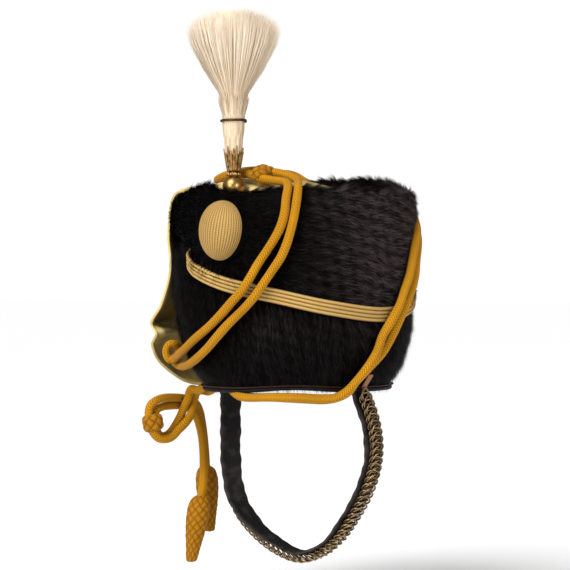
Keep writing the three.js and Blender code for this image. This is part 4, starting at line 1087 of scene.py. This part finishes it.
def bag_cut():
    """Width, length and area of the bag's cloth when flat, from its own rows."""
    rows = np.linspace(0, 1, 200)
    front, middle, rear = (bag_place(np.full(200, share), rows) for share in (0.0, 0.5, 1.0))
    wide = np.linalg.norm(front - middle, axis=1) + np.linalg.norm(rear - middle, axis=1)
    steps = np.linalg.norm(np.diff(middle, axis=0), axis=1)
    return wide.max(), steps.sum(), ((wide[1:] + wide[:-1]) / 2 * steps).sum()


def add_bag():
    """Cloth over the crown that hangs as a bag, with soft creases, one deep fold, and painted shade on the
    hanging part, kept off the fold and the front edge as painted highlight.
    """
    def place(across, along):
        spot = bag_place(across, along)
        hanging = eased((along - 0.42) / 0.1)
        crease = np.sin(across * 7 + along * 25) * np.sin(along * 44 + across * 5)
        spot[:, 0] -= hanging * (1.1 * crease + 0.8 * np.sin(across * 15 + 1) * np.sin(along * 19))
        spot[:, 2] += 0.5 * (1 - hanging) * np.sin(across * 17 + 2) * np.sin(along * 53 + across * 6)
        # Painted highlight: the fold's upper side, near 55 mm, takes away painted shade
        fold_highlight = hump(spot[:, 2], 55, 6.5)
        ridge = FOLD["in"] * hump(spot[:, 2], FOLD["up"], FOLD["width"])
        spot[:, 0] += ridge * hanging * eased(across / 0.08)
        # Painted highlight: the front edge above 56 mm takes no painted shade, as a lit edge
        rim = (1 - eased((across - 0.02) / 0.03)) * eased((spot[:, 2] - 56) / 8)
        # Painted shade over the hanging bag, less on the fold, the front edge and the lobe below 50 mm
        painted_shade_and_soil = hanging * (1 - rim) * (1.25 - 1.4 * fold_highlight - 0.75 * eased((50 - spot[:, 2]) / 8))
        tucked = eased((0.14 - across) / 0.14) * (1 - hanging) * (spot[:, 2] > 165)
        spot[:, 2] -= 5 * tucked * eased((60 - np.abs(spot[:, 0])) / 15)
        # A notch behind the ball, which stands on the fur
        notch = np.sqrt(np.clip(BALL_NOTCH**2 - (spot[:, 0] - PLUME_X) ** 2, 0, None))
        spot[:, 1] = np.where(notch > 0, np.maximum(spot[:, 1], PLUME_Y + notch), spot[:, 1])
        return spot, painted_shade_and_soil

    piece = sheet_of(60, 208, place, attribute="painted_shade_and_soil")
    modify(piece, "SOLIDIFY", thickness=CLOTH_THICK * MM, offset=0)
    modify(piece, "BEVEL", width=CLOTH_EDGE * MM, segments=2, limit_method="ANGLE")
    in_edit_mode(piece, face_outward)
    # Less of the painted shade goes on the outer face, which faces the light, than on the inner face toward
    # the hat
    layer = piece.data.attributes["painted_shade_and_soil"].data
    painted_shade_and_soil = np.zeros(len(layer), np.float32)
    layer.foreach_get("value", painted_shade_and_soil)
    normal = np.zeros(len(layer) * 3, np.float32)
    piece.data.vertices.foreach_get("normal", normal)
    layer.foreach_set("value", painted_shade_and_soil * np.where(normal[::3] < -0.25, OUTER_FACE_SHADE, 1).astype(np.float32))
    finished(piece, "bag_cloth", CLOTH, "bag_cloth", "bag")
    width, length, area = bag_cut()


add_bag()


# Braid and cockade
def add_braid():
    """Flat braid of ribs with a frayed place at the front, pulled round the body."""
    def place(across, along):
        angle = TABLE_START + 360 * along
        height = np.abs(np.sin(math.pi * BRAID_RIBS * across)) ** 0.5
        edge = np.minimum(across, 1 - across)
        frayed = hump(angle, -6, 5) * np.sin(angle * 7) * (across > 0.8)
        out = braid_row(angle, 2) + 0.6 + 2.2 * height - 0.7 * (edge < 0.03)
        up = braid_up(angle) + (across - 0.5) * BRAID_WIDTH + 1.2 * frayed
        return body_point(angle, up, out)

    piece = sheet_of(24, 600, place, (BRAID_RIBS, FULL_TURN * BRAID_RADIUS / BRAID_STITCH))
    in_edit_mode(piece, weld)
    modify(piece, "SOLIDIFY", thickness=BRAID_BACK * MM, offset=1)
    in_edit_mode(piece, face_outward)
    finished(piece, "ribbed_braid", STRAW, "braid", "band")


def add_cockade():
    """Half an egg covered in knitted yarn, in rows that run from its upper end to its lower end."""
    def place(u, v):
        across, down = math.pi * u, math.pi * v
        height = chevron(u * COCKADE_ROWS, v * COCKADE_STITCHES, 0.6)
        full = 1 + 0.05 * np.cos(down) - 0.03 * (1 - height) * np.sin(down)
        x = -COCKADE["half_wide"] * full * np.sin(down) * np.cos(across)
        out = COCKADE["depth"] * full * np.sin(down) * np.sin(across)
        return np.stack([x, -out, COCKADE["half_high"] * np.cos(down)], 1)

    piece = sheet_of(96, 120, place, (COCKADE_ROWS, COCKADE_STITCHES))
    close_up(piece)
    foot = body_point(float(COCKADE["angle"]), float(COCKADE["up"]), 0.2)
    turned = Matrix.Rotation(math.radians(COCKADE["angle"]), 4, "Z")
    tilted = Matrix.Rotation(math.radians(COCKADE["tilt"]), 4, "Y")
    piece.data.transform(Matrix.Translation(Vector(foot) * MM) @ turned @ tilted)
    finished(piece, "woven_cockade", KNIT, "braid", "cockade")


add_braid()
add_cockade()


# Plume
def plume_outline(up):
    return read_rows(PLUME, 1, up)


def sleeve_outline(up):
    return np.interp(up, *zip(*SLEEVE))


def add_strands(name, foot, levels, reach, turn, tips, outline, spread, widths, shade, uneven, toned):
    """Upright hairs from the foot's height to their tips, each at its reach of the outline's radius.
    toned gives the share of the shade below and above the heights where the hair pales."""
    count = len(turn)
    drift = seeded.normal(0, 1, (count, 2))
    lines = []
    for level in levels:
        up = foot + (tips - foot) * level
        line = round_plume(outline(up) * reach, turn, up)
        line[:, :2] += spread * max(level - 0.35, 0) ** 1.4 * drift
        lines.append(line)
    sides = np.stack([-np.sin(turn), np.cos(turn), np.zeros(count)], 1)
    piece, points = blades(np.stack(lines, 1), sides, seeded.uniform(*widths, count))
    tone = np.repeat(shade + seeded.normal(0, uneven, count), points)
    tone = tone * np.interp(points_of(piece)[:, 2] / MM, PALING_HEIGHTS, toned)
    paint(piece, "shade", np.clip(tone, 0, 1))
    finished(piece, name, HORSEHAIR, "horsehair")


def add_plume_hair():
    reach = np.sqrt(seeded.uniform(0, 1, PLUME_STRANDS))
    turn = seeded.uniform(0, FULL_TURN, PLUME_STRANDS)
    # Locks: hairs near each other keep together and end at much the same height
    lock = np.sin(9 * turn + 5 * reach) * np.sin(16 * turn - 11 * reach + 1)
    ends = PLUME_TIP - 15.5 * reach**3.5 + 1.8 * lock
    tips = ends + seeded.normal(0, 1.2, PLUME_STRANDS) - seeded.exponential(1.3, PLUME_STRANDS)
    streak = np.sin(7 * turn + 1.5) * np.sin(19 * turn + 4 * reach)
    add_strands(
        "plume_hair", PLUME_FOOT, [0, 0.26, 0.4, 0.52, 0.68, 0.85, 1], reach, turn, tips, plume_outline, 2.4,
        (0.36, 0.7), 0.8 + 0.16 * streak, 0.13, (0.62, 1.2),
    )


def add_sleeve():
    """Short hairs round the long ones, cut off level, so that they make a step above the tie."""
    turn = seeded.uniform(0, FULL_TURN, SLEEVE_STRANDS)
    reach = seeded.uniform(0.84, 1.0, SLEEVE_STRANDS)
    tips = SLEEVE_TOP + seeded.normal(0, 0.8, SLEEVE_STRANDS) - seeded.exponential(0.8, SLEEVE_STRANDS)
    add_strands(
        "plume_sleeve", SLEEVE_FOOT, [0, 0.5, 0.68, 0.84, 1], reach, turn, tips, sleeve_outline, 0.5,
        (0.4, 0.8), 0.5 + 0.14 * np.sin(11 * turn), 0.14, (1, 1),
    )


def add_core():
    """Dense middle of the plume, fluted, which the hairs hide but for its foot."""
    def place(u, v):
        up = CORE_FOOT + CORE_HEIGHT * v
        fluted = 1 + 0.03 * np.sin(FULL_TURN * u * 23)
        closing = 1 - 0.6 * np.clip((v - 0.75) / 0.25, 0, 1) ** 2
        return round_plume((plume_outline(up) * 0.9 - 0.3) * fluted * closing, FULL_TURN * u, up)

    core = sheet_of(92, 60, place)
    paint(core, "shade", np.full(len(core.data.vertices), 0.5))
    close_up(core)
    finished(core, "plume_core", HORSEHAIR, "horsehair", "plume")


def add_tie():
    """Two turns of dark wire round the hair."""
    turn = np.linspace(0, 2 * FULL_TURN + 0.5, 160)
    line = round_plume(TIE["radius"], turn, TIE["up"] + TIE["rise"] * (turn / turn[-1] - 0.5))
    piece = corded(line, TIE["wire"], sides=8, step=0.9, relief=0.0)
    finished(piece, "tie_wire", WIRE, "dark_wire", "plume_tie")


def add_cup():
    """Brass calyx: long narrow pressed leaves of uneven height round a plain cup."""
    def leaf_place(u, v):
        side = 2 * u - 1
        width = LEAF["half"] * (1 - 0.85 * np.clip((v - 0.6) / 0.4, 0, 1) ** 1.5) * (0.6 + 0.4 * v)
        radius = LEAF["foot"] + LEAF["flare"] * v**0.9
        turn = side * width / radius
        far = radius + 0.5 * np.cos(side * math.pi / 2) - 0.5 * hump(side, 0, 0.2)
        return np.stack([far * np.sin(turn), -far * np.cos(turn), LEAF["height"] * v], 1)

    leaf = sheet_of(8, 16, leaf_place)
    modify(leaf, "SOLIDIFY", thickness=LEAF["thick"] * MM, offset=0)
    foot = Matrix.Translation((PLUME_X, PLUME_Y, CUP_BOTTOM))
    seats = []
    for k in range(CUP_LEAVES):
        turned = Matrix.Rotation(FULL_TURN * (k + seeded.uniform(-0.15, 0.15)) / CUP_LEAVES, 4, "Z")
        seats.append(foot @ turned @ Matrix.Diagonal((1, 1, seeded.uniform(0.86, 1.22), 1)))
    leaves = copied(leaf, seats)
    in_edit_mode(leaves, face_outward)
    finished(leaves, "cup_leaves", CUP_BRASS, "brass")

    def body_place(turn, share):
        out, up = closed_section(CUP_PROFILE, share)
        return round_plume(out, FULL_TURN * turn, up)

    body = ring_of(48, 36, body_place)
    in_edit_mode(body, weld, face_outward)
    finished(body, "cup_body", WIRE, "brass", "plume_cup")


def add_ball():
    """Turned brass ball on its spike, with a ring of beads over a short neck."""
    deselect()
    at = Vector((PLUME_X, PLUME_Y, BALL_UP))
    bpy.ops.mesh.primitive_uv_sphere_add(
        segments=64, ring_count=40, radius=BALL_RADIUS * MM, location=at * MM)
    ball = bpy.context.object
    settle()
    bpy.ops.mesh.primitive_cylinder_add(
        vertices=32, radius=NECK["radius"] * MM, depth=NECK["height"] * MM,
        location=(at + Vector((0, 0, NECK["over"]))) * MM)
    neck = bpy.context.object
    settle()
    bpy.ops.mesh.primitive_cone_add(
        vertices=20, radius1=SPIKE["point"] * MM, radius2=SPIKE["radius"] * MM, depth=SPIKE["length"] * MM,
        location=(at - Vector((0, 0, SPIKE["under"]))) * MM)
    spike = bpy.context.object
    settle()
    bpy.ops.mesh.primitive_uv_sphere_add(segments=16, ring_count=10, radius=BEAD_RADIUS * MM)
    places = round_plume(BEAD_RING, np.arange(BEADS) * FULL_TURN / BEADS, BEAD_UP)
    beads = copied(bpy.context.object, [Matrix.Translation(place) for place in places])
    for piece in (neck, spike, beads):
        pick(ball)
        piece.select_set(True)
        bpy.ops.object.join()
    finished(ball, "brass_ball", BRASS, "brass", "plume_ball")


add_plume_hair()
add_sleeve()
add_core()
add_tie()
add_cup()
add_ball()


# Chin strap and chain
def strap_frames(step):
    """Places along the strap with their directions ahead, across the width and outward."""
    table = np.array(STRAP_ROUTE, float)
    line = even(through([np.array(Vector(row[:3])) for row in STRAP_ROUTE]), step)
    gaps = np.linalg.norm(np.diff(table[:, :3], axis=0), axis=1)
    run = np.concatenate([[0], np.cumsum(gaps)]) / gaps.sum()
    share = np.linspace(0, 1, len(line))
    turn = np.radians(np.interp(share, run, table[:, 3])) * np.where(share < 0.5, 1, -1)
    ahead = unit(np.gradient(line, axis=0))
    across = unit(np.array([0, 1, 0]) - ahead * ahead[:, 1:2])
    outward = np.cross(across, ahead)
    cos, sin = np.cos(turn)[:, None], np.sin(turn)[:, None]
    return line, ahead, across * cos - outward * sin, outward * cos + across * sin


def add_strap():
    """Soft leather strap with turned edges, wavy and buckled with age."""
    line, _, across, outward = strap_frames(2.0)
    last = len(line) - 1

    def place(u, v):
        k = np.clip(np.rint(v * last).astype(int), 0, last)
        cos, sin = np.cos(FULL_TURN * u), np.sin(FULL_TURN * u)
        wavy = 1 + 0.04 * np.sin(k * 0.42) + 0.035 * np.sin(k * 0.97 + 1)
        wide = np.sign(cos) * np.abs(cos) ** 0.35 * STRAP_WIDTH / 2 * wavy
        hem = STRAP_HEM * hump(np.abs(cos), 0.42, 0.12)
        thick = np.sign(sin) * (np.abs(sin) ** 0.6 * STRAP_THICK / 2 + hem)
        buckle = 0.7 * np.sin(k * 0.21) * np.sin(k * 0.083 + 1)
        spot = line[k] + wide[:, None] * across[k] + (thick + buckle)[:, None] * outward[k]
        return spot, np.clip((np.abs(cos) - 0.3) * 1.4, 0, 1)

    piece = sheet_of(32, last, place, attribute="edge")
    close_up(piece)
    finished(piece, "leather_chin_strap", STRAP, "strap_leather", "chin_strap")


def add_chain():
    """Interlinked rings that lie along the strap's outer face and lean left and right in turn."""
    line, ahead, across, outward = strap_frames(LINK_PITCH)
    deselect()
    bpy.ops.mesh.primitive_torus_add(
        major_segments=16, minor_segments=6, major_radius=LINK_RADIUS * MM, minor_radius=LINK_WIRE * MM)
    ring = bpy.context.object
    tilt = Matrix.Rotation(math.radians(LINK_TILT), 4, "X")
    spots = []
    for k in range(2, len(line) - 2):
        roll = Matrix.Rotation(math.radians(LINK_ROLL if k % 2 == 0 else -LINK_ROLL), 4, "Y")
        seat = Matrix((Vector(across[k]), Vector(ahead[k]), Vector(outward[k]))).transposed().to_4x4()
        middle = line[k] + outward[k] * (STRAP_THICK / 2 + LINK_STAND)
        spots.append(Matrix.Translation(middle) @ seat @ roll @ tilt)
    finished(copied(ring, spots), "ring_chain", CHAIN_METAL, "chain_brass", "chin_chain")


def add_ring(name, centre, major, wire, turn, squeeze, material, slot, old):
    """Upright wire ring, turned about its height and squeezed in width."""
    deselect()
    bpy.ops.mesh.primitive_torus_add(
        major_segments=36, minor_segments=12, major_radius=major * MM, minor_radius=wire * MM)
    piece = bpy.context.object
    piece.scale = (squeeze, 1, 1)
    piece.rotation_euler = (math.pi / 2, 0, math.radians(turn))
    piece.location = Vector(centre) * MM
    settle()
    finished(piece, name, material, slot, old)


def add_tab():
    """Leather tab that carries the chain's end link."""
    def place(u, v):
        angle = TAB["angle"] + (u - 0.5) * TAB["turn"]
        out = TAB["out"] + TAB["bulge"] * np.sin(math.pi * v)
        return body_point(angle, TAB["low"] + TAB["height"] * v, out)

    piece = sheet_of(8, 16, place)
    modify(piece, "SOLIDIFY", thickness=TAB["thick"] * MM, offset=0)
    modify(piece, "BEVEL", width=TAB["edge"] * MM, segments=2, limit_method="ANGLE")
    in_edit_mode(piece, face_outward)
    finished(piece, "tan_tab", TAN, "tan_leather", "left_tab")


add_strap()
add_chain()
add_ring("wire_hook", HOOK_AT, 4, 0.9, 0, 1, WIRE, "dark_wire", "right_hook")
add_ring("wire_ring", RING_AT, 4.8, 0.9, 90, 1, WIRE, "dark_wire", "right_ring")
link_at = body_point(*END_LINK_AT)
add_ring("end_link", link_at, 5, 0.95, END_LINK_AT[0], 0.7, CHAIN_METAL, "chain_brass", "left_link")
add_tab()


# Floor and light: a white studio with one broad lamp above the hat and a softbox at each side
def add_world():
    world = bpy.data.worlds.new("studio_white")
    bpy.context.scene.world = world
    world.use_nodes = True
    tree = world.node_tree
    tree.nodes.clear()
    seen = node(tree, "LightPath").outputs["Is Camera Ray"]
    strength = node(tree, "MapRange", {"Value": seen, "To Min": WORLD_LIGHT, "To Max": WORLD_SEEN})
    background = node(tree, "Background", {"Color": (1, 1, 1, 1), "Strength": strength})
    node(tree, "OutputWorld", {"Surface": background})


def add_lamp(name, kind, spot, way, settings):
    """A lamp at a spot in metres, which shines the given way."""
    light = bpy.data.lights.new(name, kind)
    for key, value in settings.items():
        setattr(light, key, value)
    lamp = bpy.data.objects.new(name, light)
    lamp.location = spot
    lamp.rotation_euler = way.to_track_quat("-Z", "Y").to_euler()
    bpy.context.scene.collection.objects.link(lamp)


def add_room():
    deselect()
    bpy.ops.mesh.primitive_plane_add(size=60, location=(0, 0, FLOOR_UP * MM))
    floor = bpy.context.object
    floor.name = "pale_floor"
    # Painted studio floor: plain white and matte
    material, tree = new_tree("pale_studio_floor")
    shader = node(tree, "BsdfPrincipled", {
        "Base Color": "#fefefe", "Roughness": 0.95, "Specular IOR Level": 0.1,
    })
    node(tree, "OutputMaterial", {"Surface": shader})
    floor.data.materials.append(material)
    add_world()
    right, toward = photo_directions()
    for name, aside, near, up, power, size in SOFTBOXES:
        spot = right * aside + toward * near + Vector((0, 0, up))
        add_lamp(name, "AREA", spot, Vector((0, 0, 0.1)) - spot, {"energy": power, "size": size})
    way = right * 0.6 - toward * 0.7 - Vector((0, 0, 1))
    shine = {"energy": SUN_LIGHT, "angle": math.radians(SUN_ANGLE)}
    add_lamp("overhead_lamp", "SUN", (0, 0, 0), way, shine)
    bpy.context.scene.view_settings.view_transform = "Standard"


add_room()
